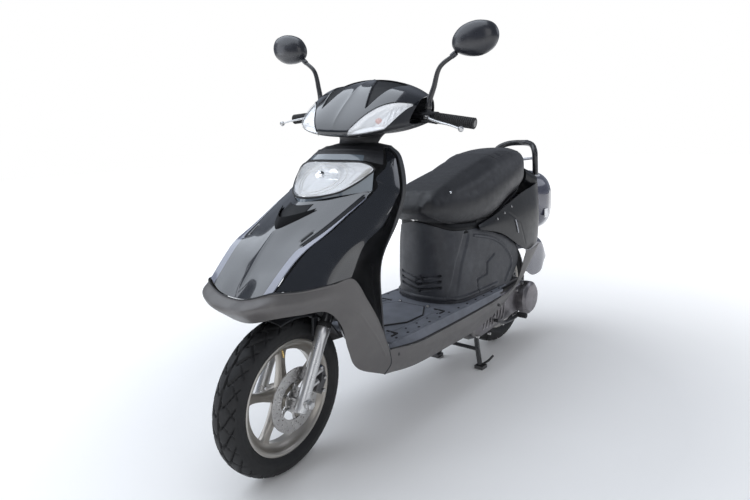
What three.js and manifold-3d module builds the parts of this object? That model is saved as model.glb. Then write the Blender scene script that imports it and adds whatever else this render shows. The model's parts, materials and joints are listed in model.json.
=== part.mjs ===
// Step-through moped scooter, 12 inch wheels, swing-unit engine, standing on its centre stand.
// Millimetres, +Z up, +X to the rider's left, the scooter faces -Y.
import * as THREE from "three";
import { mergeVertices } from "three/addons/utils/BufferGeometryUtils.js";
import Module from "manifold-3d";

const wasm = await Module();
wasm.setup();

// ---- driving dimensions -------------------------------------------------------------------
const LENGTH_CENTRE = 695; // distance from the front axle back to the middle of the whole length
const WHEELBASE = 1250;
const TYRE_RADIUS = 233.5;
const TYRE_HALF_WIDTH = 45;
const RIM_RADIUS = 169;
const RIM_HALF_WIDTH = 34;
const REAR_WHEEL_LIFT = 12; // the centre stand keeps the rear tyre this far off the ground
const RAKE = THREE.MathUtils.degToRad(27);
const STEERING_FOOT = new THREE.Vector3(0, -80, 0); // where the steering axis would meet the ground
const REST_STEER = THREE.MathUtils.degToRad(6.56); // the bars rest turned a little to the left
const FORK_HALF_TRACK = 80;
const DISC_RADIUS = 95;
const DISC_X = 52;
const LAMP_Z = 845; // height of the middle of the headlight
const PANEL = 3; // thickness of the plastic body panels
const SWING_PIVOT = [0, 780, 195];
const STAND_PIVOT = [0, 972, 128];
const PERCH_X = 206; // middle of each lever perch
const KICK_PIVOT = [980, 205];
const SHOCK_TOP = [84, 1206, 560];
const SHOCK_FOOT = [84, 1262, 324];

const steeringAxis = new THREE.Vector3(0, Math.sin(RAKE), Math.cos(RAKE));
const frontAxle = [0, 0, TYRE_RADIUS];
const rearAxle = [0, WHEELBASE, TYRE_RADIUS + REAR_WHEEL_LIFT];

// ---- materials ----------------------------------------------------------------------------
const finish = (color, roughness, metalness = 0, opacity = 1) =>
  new THREE.MeshStandardMaterial({ color, roughness, metalness, opacity, transparent: opacity < 1 });
const glossBlack = finish(0x0a0b0d, 0.12);
const satinGrey = finish(0x5f5c5b, 0.45);
const mattBlack = finish(0x17181a, 0.7);
const mouldedGrey = finish(0x3c3f44, 0.65);
const vinyl = finish(0x1b1c1e, 0.6);
const rubber = finish(0x101010, 0.85);
const alloy = finish(0x8d877c, 0.4, 0.9);
const bareMetal = finish(0xb9bbbe, 0.3, 1);
const castMetal = finish(0x6d6a66, 0.55, 0.8);
const chromed = finish(0xe6e8ea, 0.08, 1);
const blackSteel = finish(0x16171a, 0.4, 0.6);
const clear = finish(0xeef3f6, 0.05, 0, 0.35);
const redLens = finish(0x8c1016, 0.15, 0, 0.8);

// ---- solids -------------------------------------------------------------------------------
// The closed body that a geometry's triangles bound, as a manifold-3d solid facing out.
function solidFrom(geometry) {
  const loose = geometry.index ? geometry.toNonIndexed() : geometry;
  const bare = new THREE.BufferGeometry().setAttribute("position", loose.getAttribute("position"));
  const merged = mergeVertices(bare, 1e-3);
  const corners = [];
  for (let i = 0; i < merged.index.count; i += 3) {
    const [a, b, c] = [0, 1, 2].map((k) => merged.index.getX(i + k));
    if (a !== b && b !== c && c !== a) corners.push(a, b, c);
  }
  const build = (triVerts) =>
    new wasm.Manifold(
      new wasm.Mesh({
        numProp: 3,
        vertProperties: Float32Array.from(merged.attributes.position.array),
        triVerts: Uint32Array.from(triVerts),
      }),
    );
  const solid = build(corners);
  return solid.volume() < 0 ? build(corners.reverse()) : solid;
}

function geometryFrom(solid) {
  const mesh = solid.getMesh();
  const geometry = new THREE.BufferGeometry();
  geometry.setAttribute("position", new THREE.BufferAttribute(Float32Array.from(mesh.vertProperties), 3));
  geometry.setIndex(new THREE.BufferAttribute(Uint32Array.from(mesh.triVerts), 1));
  geometry.computeVertexNormals();
  return geometry;
}

const join = (...parts) => geometryFrom(parts.map(solidFrom).reduce((a, b) => a.add(b)));
const cut = (part, ...tools) =>
  geometryFrom(tools.map(solidFrom).reduce((a, b) => a.subtract(b), solidFrom(part)));

// ---- shapes -------------------------------------------------------------------------------
const vector = (p) => new THREE.Vector3(...p);
const mirrored = (p) => [-p[0], p[1], p[2]];
const mirrorGeometry = (geometry) => geometryFrom(solidFrom(geometry.clone().scale(-1, 1, 1)));
const moved = (geometry, p) => geometry.translate(...p);
const block = (size, centre) => moved(new THREE.BoxGeometry(...size), centre);

function rod(from, to, radius, sides = 12, endRadius = radius) {
  const a = vector(from);
  const along = vector(to).sub(a);
  const geometry = new THREE.CylinderGeometry(endRadius, radius, along.length(), sides);
  geometry.translate(0, along.length() / 2, 0);
  const turnTo = new THREE.Quaternion().setFromUnitVectors(new THREE.Vector3(0, 1, 0), along.normalize());
  geometry.applyQuaternion(turnTo);
  return moved(geometry, from);
}

function tube(points, radius, sides = 8, steps = points.length * 4) {
  const path = new THREE.CatmullRomCurve3(points.map(vector));
  const circle = new THREE.EllipseCurve(0, 0, radius, radius).getPoints(sides);
  const section = new THREE.Shape(circle.slice(0, sides));
  return new THREE.ExtrudeGeometry(section, { steps, extrudePath: path, bevelEnabled: false });
}

// A ring or a disc turned about an axis parallel to X; the profile holds [x, radius] pairs.
function turned(profile, centre = [0, 0, 0], segments = 24) {
  const points = profile.map(([x, r]) => new THREE.Vector2(r, x));
  const geometry = new THREE.LatheGeometry(points, segments).rotateZ(-Math.PI / 2);
  return moved(geometry, centre);
}

// A plain disk about an axis parallel to X, from x0 to x1.
const disk = (x0, x1, radius, centre, segments) =>
  turned([[x0, 0], [x0, radius], [x1, radius], [x1, 0]], centre, segments);

// A plate with an outline in the YZ plane, from x0 to x1.
function sidePlate(outline, x0, x1, bevel = 0) {
  const shape = new THREE.Shape(outline.map(([y, z]) => new THREE.Vector2(y, z)));
  const geometry = new THREE.ExtrudeGeometry(shape, {
    depth: x1 - x0 - 2 * bevel,
    bevelEnabled: bevel > 0,
    bevelThickness: bevel,
    bevelSize: bevel,
    bevelOffset: -bevel,
    bevelSegments: 1,
  });
  const axes = new THREE.Matrix4().makeBasis(
    new THREE.Vector3(0, 1, 0),
    new THREE.Vector3(0, 0, 1),
    new THREE.Vector3(1, 0, 0),
  );
  return moved(geometry.applyMatrix4(axes), [x0 + bevel, 0, 0]);
}

const roundEnds = (y0, z0, r0, y1, z1, r1, steps = 7) => {
  const lean = Math.atan2(z1 - z0, y1 - y0);
  const arc = (y, z, r, start) =>
    Array.from({ length: steps }, (_, i) => {
      const angle = lean + start + (Math.PI * i) / (steps - 1);
      return [y + r * Math.cos(angle), z + r * Math.sin(angle)];
    });
  return [...arc(y0, z0, r0, Math.PI / 2), ...arc(y1, z1, r1, -Math.PI / 2)];
};

// Smooth curve through a list of points, at t from 0 to 1.
function along(points, t) {
  const last = points.length - 1;
  const s = Math.min(Math.max(t, 0), 1) * last;
  const i = Math.min(Math.floor(s), last - 1);
  const f = s - i;
  const [b, c] = [points[i], points[i + 1]];
  const a = points[i - 1] ?? b.map((x, k) => 2 * x - c[k]);
  const d = points[i + 2] ?? c.map((x, k) => 2 * x - b[k]);
  return b.map((x, k) => {
    const [p, q, r, w] = [a[k], x, c[k], d[k]];
    const cubic = 3 * q - p - 3 * r + w;
    return 0.5 * (2 * q + (r - p) * f + (2 * p - 5 * q + 4 * r - w) * f * f + cubic * f ** 3);
  });
}

// Smooth sheet through rows of points; u runs along a row and v from the first row to the last.
const sheet = (rows) => (u, v) => along(rows.map((row) => along(row, u)), v);
// The rows of a sheet that is the same on both sides of the scooter, from the rows of its +X half.
const bothSides = (rows) => rows.map((row) => [...row.slice(1).reverse().map(mirrored), ...row]);

const geometryOf = (positions) =>
  new THREE.BufferGeometry().setAttribute("position", new THREE.Float32BufferAttribute(positions, 3));

// A closed shell of even thickness behind a sheet, on the side away from its normal.
function shell(surface, columns, rows, thickness = PANEL) {
  const outer = [];
  const inner = [];
  for (let j = 0; j <= rows; j += 1) {
    for (let i = 0; i <= columns; i += 1) {
      const [u, v] = [i / columns, j / rows];
      const [step, point] = [0.02, vector(surface(u, v))];
      const [right, left] = [surface(Math.min(u + step, 1), v), surface(Math.max(u - step, 0), v)];
      const [above, below] = [surface(u, Math.min(v + step, 1)), surface(u, Math.max(v - step, 0))];
      const across = vector(right).sub(vector(left));
      const up = vector(above).sub(vector(below));
      outer.push(point);
      inner.push(point.clone().addScaledVector(across.cross(up).normalize(), -thickness));
    }
  }
  const points = [...outer, ...inner];
  const at = (i, j, side) => side * outer.length + j * (columns + 1) + i;
  const faces = [];
  const quad = (a, b, c, d) => faces.push(a, b, c, a, c, d);
  for (let j = 0; j < rows; j += 1) {
    for (let i = 0; i < columns; i += 1) {
      quad(at(i, j, 0), at(i + 1, j, 0), at(i + 1, j + 1, 0), at(i, j + 1, 0));
      quad(at(i, j, 1), at(i, j + 1, 1), at(i + 1, j + 1, 1), at(i + 1, j, 1));
    }
    quad(at(0, j, 0), at(0, j + 1, 0), at(0, j + 1, 1), at(0, j, 1));
    quad(at(columns, j, 0), at(columns, j, 1), at(columns, j + 1, 1), at(columns, j + 1, 0));
  }
  for (let i = 0; i < columns; i += 1) {
    quad(at(i, 0, 0), at(i, 0, 1), at(i + 1, 0, 1), at(i + 1, 0, 0));
    quad(at(i, rows, 0), at(i + 1, rows, 0), at(i + 1, rows, 1), at(i, rows, 1));
  }
  return geometryOf(faces.flatMap((k) => points[k].toArray()));
}

// A solid through closed rings that all have the same number of points.
function loft(rings) {
  const positions = [];
  const face = (...corners) => corners.forEach((p) => positions.push(...p));
  const count = rings[0].length;
  for (let j = 0; j + 1 < rings.length; j += 1) {
    for (let i = 0; i < count; i += 1) {
      const k = (i + 1) % count;
      face(rings[j][i], rings[j][k], rings[j + 1][k]);
      face(rings[j][i], rings[j + 1][k], rings[j + 1][i]);
    }
  }
  const centre = (ring) => [0, 1, 2].map((k) => ring.reduce((sum, p) => sum + p[k], 0) / count);
  const [first, last] = [rings[0], rings[rings.length - 1]];
  for (let i = 0; i < count; i += 1) {
    const k = (i + 1) % count;
    face(centre(first), first[k], first[i]);
    face(centre(last), last[i], last[k]);
  }
  return geometryOf(positions);
}

// A rounded cross-section standing at one y: half-width, bottom and top, squared by a power.
function section(y, halfWidth, bottom, top, power = 3, count = 12) {
  return Array.from({ length: count }, (_, i) => {
    const angle = (2 * Math.PI * (i + 0.5)) / count;
    const bend = (x) => Math.sign(x) * Math.abs(x) ** (2 / power);
    const z = (top + bottom) / 2 + ((top - bottom) / 2) * bend(Math.sin(angle));
    return [halfWidth * bend(Math.cos(angle)), y, z];
  });
}

// ---- groups -------------------------------------------------------------------------------
const scooter = new THREE.Group();
scooter.position.y = -LENGTH_CENTRE;
const turn = new THREE.Group();
turn.position.copy(STEERING_FOOT);
turn.quaternion.setFromAxisAngle(steeringAxis, REST_STEER);
const steering = new THREE.Group();
steering.position.copy(STEERING_FOOT).negate();
turn.add(steering);
scooter.add(turn);

function add(name, geometry, material, group = scooter) {
  const mesh = new THREE.Mesh(geometryFrom(solidFrom(geometry)), material);
  mesh.name = name;
  group.add(mesh);
}

function addPair(name, geometry, material, group = scooter) {
  add(name + "_left", geometry, material, group);
  add(name + "_right", mirrorGeometry(geometry), material, group);
}

// ---- front body panels --------------------------------------------------------------------
// Half rows run from the middle of the nose to the crease beside it.
const hoodRows = [
  [[0, -126, 554], [64, -127, 563], [130, -106, 584]],
  [[0, -80, 604], [70, -73, 614], [136, -54, 634]],
  [[0, -27, 662], [76, -14, 668], [144, -4, 671]],
  [[0, 45, 723], [80, 70, 723], [153, 87, 713]],
  [[0, 124, 773], [84, 175, 786], [164, 248, 799]],
];
// Rows run from the crease back to the edge of the leg shield, then up over the shoulder beside the lamp.
const sidePanelRows = [
  [[134, -100, 583], [164, -40, 579], [186, 30, 580], [195, 112, 583]],
  [[148, 0, 668], [175, 50, 664], [191, 105, 662], [197, 165, 660]],
  [[158, 91, 711], [180, 140, 707], [192, 195, 705], [196, 250, 703]],
  [[169, 254, 798], [180, 272, 790], [189, 292, 778], [193, 312, 764]],
  [[162, 268, 832], [175, 286, 827], [186, 312, 816], [193, 335, 797]],
  [[168, 306, 861], [170, 322, 868], [170, 338, 873], [168, 353, 876]],
  [[148, 334, 890], [149, 344, 893], [149, 353, 895], [148, 361, 896]],
  [[120, 362, 911], [121, 365, 911], [122, 367, 911], [122, 369, 911]],
];
const lensRows = [
  [[0, 131, 784], [50, 148, 787], [95, 184, 798], [128, 226, 822], [150, 266, 848]],
  [[0, 196, 826], [52, 203, 829], [98, 224, 835], [131, 250, 846], [151, 270, 852]],
  [[0, 262, 878], [55, 264, 878], [103, 270, 876], [135, 274, 868], [152, 275, 857]],
];

function buildFrontPanels() {
  const hood = sheet(bothSides(hoodRows));
  add("front_hood", shell(hood, 10, 6), glossBlack);
  addPair("front_side_panel", shell(sheet(sidePanelRows), 5, 10), glossBlack);
  add("headlight_lens", shell(sheet(bothSides(lensRows)), 12, 3), clear);
  const slanted = (y, half, low, high) =>
    section(y, half, low, high, 2.4).map(([x, front, z]) => [x, front + z - LAMP_Z, z]);
  const bowlEnd = section(312, 30, 830, 856, 2.4);
  const bowl = loft([slanted(250, 95, 818, 872), slanted(285, 66, 820, 868), bowlEnd]);
  const hollow = loft([slanted(246, 90, 822, 868), slanted(282, 61, 824, 864)]);
  add("headlight_reflector", cut(bowl, hollow), chromed);
}

// The grey lower cowl: columns run from the beak round and back, each from its top edge down.
const cowlColumns = [
  [[0, -128, 551], [0, -158, 526], [0, -112, 483]],
  [[64, -131, 559], [72, -159, 534], [65, -116, 494]],
  [[130, -111, 579], [141, -127, 549], [124, -96, 511]],
  [[164, -42, 575], [172, -48, 544], [154, -40, 511]],
  [[186, 50, 576], [189, 48, 535], [168, 38, 500]],
  [[195, 118, 576], [195, 110, 500], [170, 90, 446]],
  [[199, 168, 505], [198, 150, 425], [174, 108, 372]],
  [[201, 212, 430], [200, 200, 355], [176, 142, 305]],
  [[201, 254, 332], [199, 262, 286], [182, 250, 250]],
];

// Rows run back along the floor and up beside the engine: top edge, middle and bottom edge.
const skirtRows = [
  [[200, 268, 328], [198, 400, 306], [188, 560, 298], [182, 800, 298]].concat(
    [[176, 985, 302], [170, 1130, 330], [166, 1225, 440]],
  ),
  [[200, 276, 284], [199, 400, 262], [190, 580, 258], [184, 800, 260]].concat(
    [[178, 1000, 284], [172, 1165, 334], [166, 1290, 442]],
  ),
  [[184, 268, 250], [184, 400, 228], [176, 600, 220], [172, 800, 222]].concat(
    [[170, 1010, 262], [168, 1190, 340], [163, 1350, 452]],
  ),
];

function buildLowerPanels() {
  const half = (k) => cowlColumns.map((column) => column[k]);
  const rows = bothSides([0, 1, 2].map(half));
  add("lower_cowl", shell(sheet(rows), 18, 3), satinGrey);
  addPair("side_skirt", shell(sheet(skirtRows), 14, 2), satinGrey);
}

function buildLegShield() {
  const inner = sheet(
    bothSides([
      [[0, 330, 345], [90, 322, 345], [160, 286, 345], [197, 240, 345]],
      [[0, 318, 440], [90, 310, 440], [160, 276, 440], [198, 232, 440]],
      [[0, 322, 590], [90, 310, 590], [165, 272, 590], [196, 236, 590]],
      [[0, 415, 700], [90, 410, 700], [165, 360, 700], [198, 300, 700]],
      [[0, 462, 790], [85, 455, 790], [155, 415, 790], [197, 345, 790]],
      [[0, 480, 880], [70, 470, 880], [130, 430, 880], [168, 366, 880]],
      [[0, 478, 914], [50, 466, 915], [92, 430, 915], [120, 380, 914]],
    ]),
  );
  add("leg_shield", shell(inner, 10, 7), mattBlack);
  const brow = sheet(
    bothSides([
      [[0, 266, 882], [60, 268, 882], [115, 278, 879], [162, 300, 868]],
      [[0, 282, 908], [55, 286, 907], [102, 300, 903], [140, 330, 896]],
      [[0, 292, 922], [45, 300, 921], [82, 322, 919], [112, 358, 915]],
    ]),
  );
  add("shield_brow", shell(brow, 8, 2), glossBlack);
}

function buildFloor() {
  const deck = sidePlate([[300, 323], [300, 332], [1000, 332], [1000, 323]], -177, 177);
  const plateau = block([150, 150, 5], [0, 540, 333]);
  const spineNotch = block([54, 90, 40], [0, 306, 328]);
  const columnRoom = block([314, 388, 40], [0, 866, 328]);
  add("floorboard", cut(join(deck, plateau), spineNotch, columnRoom), rubber);
}

// ---- rear body ----------------------------------------------------------------------------
// Half rows run from the rear edge beside the engine forward to the middle of the front.
const columnRows = [
  [[150, 1105, 324], [151, 900, 334], [142, 764, 334], [100, 706, 334], [0, 682, 334]],
  [[148, 1182, 420], [142, 940, 430], [130, 756, 430], [88, 700, 430], [0, 678, 430]],
  [[143, 1112, 512], [134, 910, 530], [120, 746, 545], [80, 694, 545], [0, 672, 545]],
  [[126, 880, 588], [124, 810, 592], [110, 736, 600], [74, 690, 618], [0, 666, 634]],
];
// Rows run back from the tip beside the seat: under the cushion, along the middle and along the bottom.
const sideCoverRows = [
  [[134, 884, 600], [140, 1000, 624], [142, 1110, 656]].concat(
    [[140, 1220, 684], [130, 1330, 697], [116, 1424, 706]],
  ),
  [[138, 884, 592], [148, 1020, 588], [155, 1150, 575]].concat(
    [[156, 1260, 572], [146, 1370, 580], [118, 1436, 600]],
  ),
  [[140, 884, 583], [150, 1034, 546], [158, 1165, 478]].concat(
    [[158, 1250, 442], [146, 1360, 452], [118, 1440, 478]],
  ),
];
// The rear mudguard: rows run back along one side, from its lower edge up to the shoulder, and down the middle.
const guardSide = [
  [[76, 1415, 300], [78, 1480, 268], [80, 1560, 272], [76, 1606, 312]],
  [[80, 1400, 400], [84, 1470, 372], [86, 1560, 352], [80, 1612, 336]],
  [[68, 1395, 476], [74, 1480, 452], [76, 1565, 416], [66, 1616, 352]],
];
const guardMiddle = [[0, 1400, 500], [0, 1495, 472], [0, 1580, 436], [0, 1618, 362]];
// Half of the grab rail, from its foot on the tail up to the middle of its back.
const railHalf = [[88, 1462, 730], [97, 1436, 796], [92, 1436, 846], [58, 1468, 871], [0, 1488, 876]];

function buildRearPanels() {
  const column = sheet(columnRows.map((row) => [...row, ...row.slice(0, -1).reverse().map(mirrored)]));
  add("under_seat_cover", shell(column, 18, 6), mouldedGrey);
  addPair("side_cover", shell(sheet(sideCoverRows), 10, 4), glossBlack);
  const tail = loft([
    section(1352, 96, 702, 788, 3),
    section(1405, 108, 652, 770, 3),
    section(1432, 110, 650, 756, 3),
    section(1440, 110, 520, 744, 3),
    section(1520, 124, 480, 750, 2.6),
    section(1575, 116, 470, 740, 2.4),
  ]);
  add("tail_cover", cut(tail, block([150, 80, 240], [0, 1482, 595])), glossBlack);
  const lens = loft([
    section(1575.5, 114, 474, 736, 2.4),
    section(1606, 92, 520, 712, 2.4),
    section(1622, 52, 560, 680, 2.2),
  ]);
  add("tail_light", lens, redLens);
  const guard = sheet([...guardSide, guardMiddle, ...guardSide.map((row) => row.map(mirrored)).reverse()]);
  add("rear_mudguard", shell(guard, 6, 12), mattBlack);
  const rail = tube([...railHalf, ...railHalf.slice(0, -1).reverse().map(mirrored)], 12.5, 8, 20);
  const pad = block([60, 34, 12], [0, 1492, 882]);
  add("grab_rail", join(rail, pad), blackSteel);
}

function buildInterior() {
  const bucket = cut(block([150, 210, 148], [0, 895, 484]), block([142, 202, 148], [0, 895, 490]));
  add("luggage_box", bucket, mattBlack);
  add("fuel_tank", loft([section(1090, 62, 520, 598, 4), section(1330, 62, 575, 645, 4)]), blackSteel);
}

// ---- seat ---------------------------------------------------------------------------------
// Cross-sections of the seat: y, half-width, bottom and top.
const seatProfile = [
  [596, 70, 662, 702],
  [640, 108, 630, 738],
  [740, 132, 594, 769],
  [880, 142, 574, 803],
  [985, 146, 580, 832],
  [1040, 146, 594, 849],
  [1150, 142, 640, 861],
  [1240, 134, 664, 865],
  [1310, 114, 682, 862],
  [1346, 80, 704, 848],
];

function buildSeat() {
  const cushion = seatProfile.map(([y, half, low, high]) => section(y, half, low + 18, high, 4, 12));
  add("seat_cushion", loft(cushion), vinyl);
  const plate = seatProfile
    .slice(2, -1)
    .map(([y, half, low]) => section(y, half - 30, low + 5, low + 17.4, 6, 8));
  const ears = [-60, 60].map((x) => block([16, 60, 24], [x, 722, 592]));
  add("seat_base", join(loft(plate), ...ears), mattBlack);
}

// ---- main frame ---------------------------------------------------------------------------
const onSteeringAxis = (z) => [0, STEERING_FOOT.y + z * Math.tan(RAKE), z];
// The bent tubes of the frame: one down the middle from the steering head, and a rail on each side.
const spinePath = [onSteeringAxis(650), [0, 262, 560], [0, 270, 440], [0, 284, 350]].concat(
  [[0, 326, 286], [0, 400, 262], [0, 612, 262]],
);
const railPath = [[98, 610, 266], [98, 700, 278], [100, 785, 338], [98, 950, 395]].concat(
  [[104, 1060, 480], [104, 1180, 560], [98, 1425, 628]],
);

function buildFrame() {
  const head = rod(onSteeringAxis(590), onSteeringAxis(742), 27, 16);
  const bore = rod(onSteeringAxis(580), onSteeringAxis(752), 18, 16);
  const spine = tube(spinePath, 20, 8, 14);
  const cross = rod([-112, 610, 264], [112, 610, 264], 17, 10);
  const rails = [railPath, railPath.map(mirrored)].map((path) => tube(path, 14, 6, 12));
  const rear = rod([-100, 1410, 624], [100, 1410, 624], 11, 8);
  const hinge = rod([-104, 1012, 438], [104, 1012, 438], 10, 8);
  const pivot = sidePlate([[752, 300], [800, 342], [798, 180], [780, 170], [760, 180]], 96, 104);
  const [eyeY, eyeZ] = [SHOCK_TOP[1] - 6, SHOCK_TOP[2] + 12];
  const shockEye = rod([68, eyeY, eyeZ], [108, eyeY, eyeZ], 12, 10);
  const tubes = join(head, spine, cross, ...rails, rear, hinge, pivot, mirrorGeometry(pivot), shockEye);
  add("main_frame", cut(tubes, bore), blackSteel);
}

// ---- steering -----------------------------------------------------------------------------
const legAt = (side, s, x = FORK_HALF_TRACK) => [
  side * x,
  s * Math.sin(RAKE),
  TYRE_RADIUS + s * Math.cos(RAKE),
];

function buildForkUpper() {
  const stem = rod(onSteeringAxis(528), onSteeringAxis(985), 14, 12);
  const crown = sidePlate([[128, 521], [196, 527], [206, 548], [196, 556], [128, 550]], -98, 98);
  const stanchions = [-1, 1].map((side) => rod(legAt(side, 100), legAt(side, 336), 14.5, 12));
  add("fork_crown", join(stem, crown, ...stanchions), blackSteel, steering);
}

const barEnd = [[180, 470.5, 1008.4], [PERCH_X, 471.9, 1005.6], [275, 473.6, 997.8], [346, 475.2, 989.8]];

function buildHandlebar() {
  const bar = tube(
    bothSides([[[0, 440, 1012], [110, 452, 1014], ...barEnd]])[0],
    10.5, 8, 20,
  );
  const stemRoom = rod(onSteeringAxis(940), onSteeringAxis(985.3), 14.4, 12);
  const clamp = cut(block([46, 50, 60], [0, 434, 1006]), stemRoom);
  add("handlebar", join(bar, clamp), blackSteel, steering);
  const onBar = (x) => {
    const t = (x - PERCH_X) / (346 - PERCH_X);
    return [x, 471.9 + 3.3 * t, 1005.6 - 15.8 * t];
  };
  const grip = cut(rod(onBar(220), onBar(345), 16.5, 14), rod(onBar(210), onBar(355), 12, 14));
  addPair("grip", grip, rubber, steering);
}

// Outlines of the two halves of the handlebar cover in the middle: the front half from its lower rear edge
// round the front to the top, and the rear half from the top round the back.
const frontOutline = [[400, 954], [320, 947], [252, 953], [255, 985], [312, 1042], [388, 1096], [470, 1118]];
const rearOutline = [[473, 1118], [512, 1112], [548, 1084], [556, 1030], [530, 975], [470, 953], [403, 953]];
const coverStations = [-192, -170, -135, -80, 0, 80, 135, 170, 192];

// A half of the cover: its outline shrinks towards the point [y, z] as it nears the grips.
function coverHalf(outline) {
  const [cy, cz] = [470, 1022];
  const row = (x) => {
    const w = Math.abs(x) / 200;
    const [deep, tall] = [1 - 0.62 * w ** 4, 1 - 0.565 * w ** 2.3];
    return outline.map(([y, z]) => [x, cy + (y - cy) * deep, cz + (z - cz) * tall]);
  };
  return shell(sheet(coverStations.map(row)), 8, 8);
}

function buildBarCovers() {
  const front = coverHalf(frontOutline);
  const neck = rod([0, 380, 930], [0, 452, 1010], 40, 12);
  const lampCut = [-1, 1].map((side) => block([90, 230, 62], [side * 153, 330, 992]));
  add("handlebar_cover", cut(front, neck, ...lampCut), glossBlack, steering);
  const rear = coverHalf(rearOutline);
  add("instrument_cover", cut(rear, neck, block([120, 60, 30], [0, 524, 1102])), mattBlack, steering);
  const dial = block([112, 46, 5], [0, 519, 1098]);
  add("instrument_dial", dial, clear, steering);
  const lamp = loft([
    [[110.5, 268, 966], [110.5, 268, 1018], [110.5, 330, 1018], [110.5, 330, 966]],
    [[150, 300, 966], [150, 304, 1018], [150, 352, 1018], [150, 352, 966]],
    [[186, 374, 975], [186, 378, 1014], [186, 406, 1014], [186, 406, 975]],
  ]);
  addPair("indicator", lamp, clear, steering);
}

function buildLevers() {
  const [x, y, z] = barEnd[1];
  const pivot = [x, y - 34, z];
  const at = (dx, dy, dz) => [pivot[0] + dx, pivot[1] + dy, pivot[2] + dz];
  const clampBody = rod([x - 11, y - 0.7, z + 1.3], [x + 11, y + 0.6, z - 1.3], 18, 14);
  const ears = [-10.5, 10.5].map((dz) => block([22, 34, 6], at(0, 8, dz)));
  const pin = rod(at(0, 0, -11), at(0, 0, 11), 3, 8);
  const mirrorBoss = rod([x, y - 24, z + 10], [x, y - 24, z + 24], 9, 10);
  const barHole = rod([x - 15, y - 1, z + 1.8], [x + 15, y + 0.9, z - 1.8], 12, 14);
  const buttonHole = rod([x, y + 13.8, z + 1], [x, y + 30, z + 1], 5.6, 10);
  const perch = cut(join(clampBody, ...ears, pin, mirrorBoss), barHole, buttonHole);
  add("lever_perch_left", perch, mattBlack, steering);
  add("lever_perch_right", mirrorGeometry(perch), mattBlack, steering);
  const blade = join(
    rod(at(0, 0, -5.4), at(0, 0, 5.4), 9, 12),
    tube([at(4, -3, 0), [232, 424, 1000], [262, 413, 994], [305, 406, 985], [334, 402, 977]], 4.8, 6, 7),
    new THREE.SphereGeometry(8.5, 8, 6).translate(337, 401.5, 976.2),
  );
  addPair("brake_lever", cut(blade, rod(at(0, 0, -8), at(0, 0, 8), 3.5, 8)), bareMetal, steering);
  const button = rod([x, y + 17, z + 1], [x, y + 25, z + 1], 5, 10);
  add("horn_button", button, mattBlack, steering);
  add("starter_button", mirrorGeometry(button), mattBlack, steering);
}

function buildMirrors() {
  const [x, y, z] = [PERCH_X, barEnd[1][1] - 24, barEnd[1][2] + 24.4];
  const stemPath = [[x, y, z + 6], [x + 2, y + 4, z + 28], [x + 12, y + 8, z + 62]].concat(
    [[236, 456, 1148], [286, 458, 1184]],
  );
  const stem = join(tube(stemPath, 6.2, 8, 12), rod([x, y, z], [x, y, z + 14], 9, 8));
  addPair("mirror_stem", stem, blackSteel, steering);
  const outline = [[-56, -30], [-20, -46], [34, -44], [66, -18], [70, 14]].concat(
    [[50, 40], [10, 47], [-34, 34], [-60, 4]],
  );
  const ring = (scale, y) => outline.map(([x, z]) => [338 + x * scale, y, 1222 + z * scale]);
  const body = loft([ring(0.45, 430), ring(0.85, 437), ring(1, 452), ring(0.97, 468)]);
  const recess = loft([ring(0.9, 464), ring(0.9, 472)]);
  const stemRoom = rod([270, 457.5, 1177], [292, 458.5, 1188.6], 7, 10);
  addPair("mirror_head", cut(body, recess, stemRoom), mattBlack, steering);
  addPair("mirror_glass", loft([ring(0.88, 464.4), ring(0.88, 467.4)]), chromed, steering);
}

// ---- fork and front wheel -----------------------------------------------------------------
function buildForkLower() {
  const legs = [-1, 1].map((side) => rod(legAt(side, -30), legAt(side, 218), 18.5, 12));
  const bores = [-1, 1].map((side) => rod(legAt(side, 30), legAt(side, 220), 15.3, 12));
  const spindle = rod([-104, ...frontAxle.slice(1)], [104, ...frontAxle.slice(1)], 7, 10);
  const lug = sidePlate([[24, 246], [86, 268], [92, 290], [40, 312]], 62, 80);
  add("fork_sliders", cut(join(...legs, spindle, lug), ...bores), bareMetal, steering);
  const jawOutline = [[88, 218], [112, 262], [104, 302], [84, 318], [62, 300], [72, 262], [64, 238]];
  const jaw = sidePlate(jawOutline, 38, 78, 3);
  const slot = disk(DISC_X - 3.4, DISC_X + 3.4, DISC_RADIUS + 4, frontAxle, 28);
  const lugRoom = sidePlate([[20, 240], [87, 264], [94, 292], [38, 318]], 61.5, 90);
  const legRoom = rod(legAt(1, 0), legAt(1, 220), 19, 14);
  add("brake_caliper", cut(jaw, slot, lugRoom, legRoom), castMetal, steering);
  const guardArc = (radius, x) =>
    Array.from({ length: 5 }, (_, i) => {
      const angle = THREE.MathUtils.degToRad(78 + 18 * i);
      return [x, -radius * Math.cos(angle), TYRE_RADIUS + radius * Math.sin(angle)];
    });
  const guardShape = [[240, 52], [247, 30], [248, 0], [247, -30], [240, -52]];
  const guardRows = guardShape.map(([radius, x]) => guardArc(radius, x));
  const guard = shell(sheet(guardRows), 6, 4, -PANEL);
  const stays = [-1, 1].map((side) => block([8, 22, 58], [side * 55, 88, 428]));
  add("front_mudguard", join(guard, ...stays), mattBlack, steering);
  const hose = tube(
    [[58, 92, 322.5], [60, 116, 372], [66, 164, 440], [72, 220, 510], [72, 244, 580], [64, 272, 640]],
    4, 8, 16,
  );
  add("brake_hose", hose, rubber, steering);
}

const tyreProfile = () => {
  const outside = [[33, 170.4], [TYRE_HALF_WIDTH, 198], [40, 219], [24, 230], [0, TYRE_RADIUS]];
  const inside = [[26, 170.4], [37, 200], [0, 226]];
  const there = outside.concat(outside.slice(0, -1).reverse().map(([x, r]) => [-x, r]));
  const back = inside.map(([x, r]) => [-x, r]).concat(inside.slice(0, -1).reverse());
  return [...there, ...back, there[0]];
};

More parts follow.
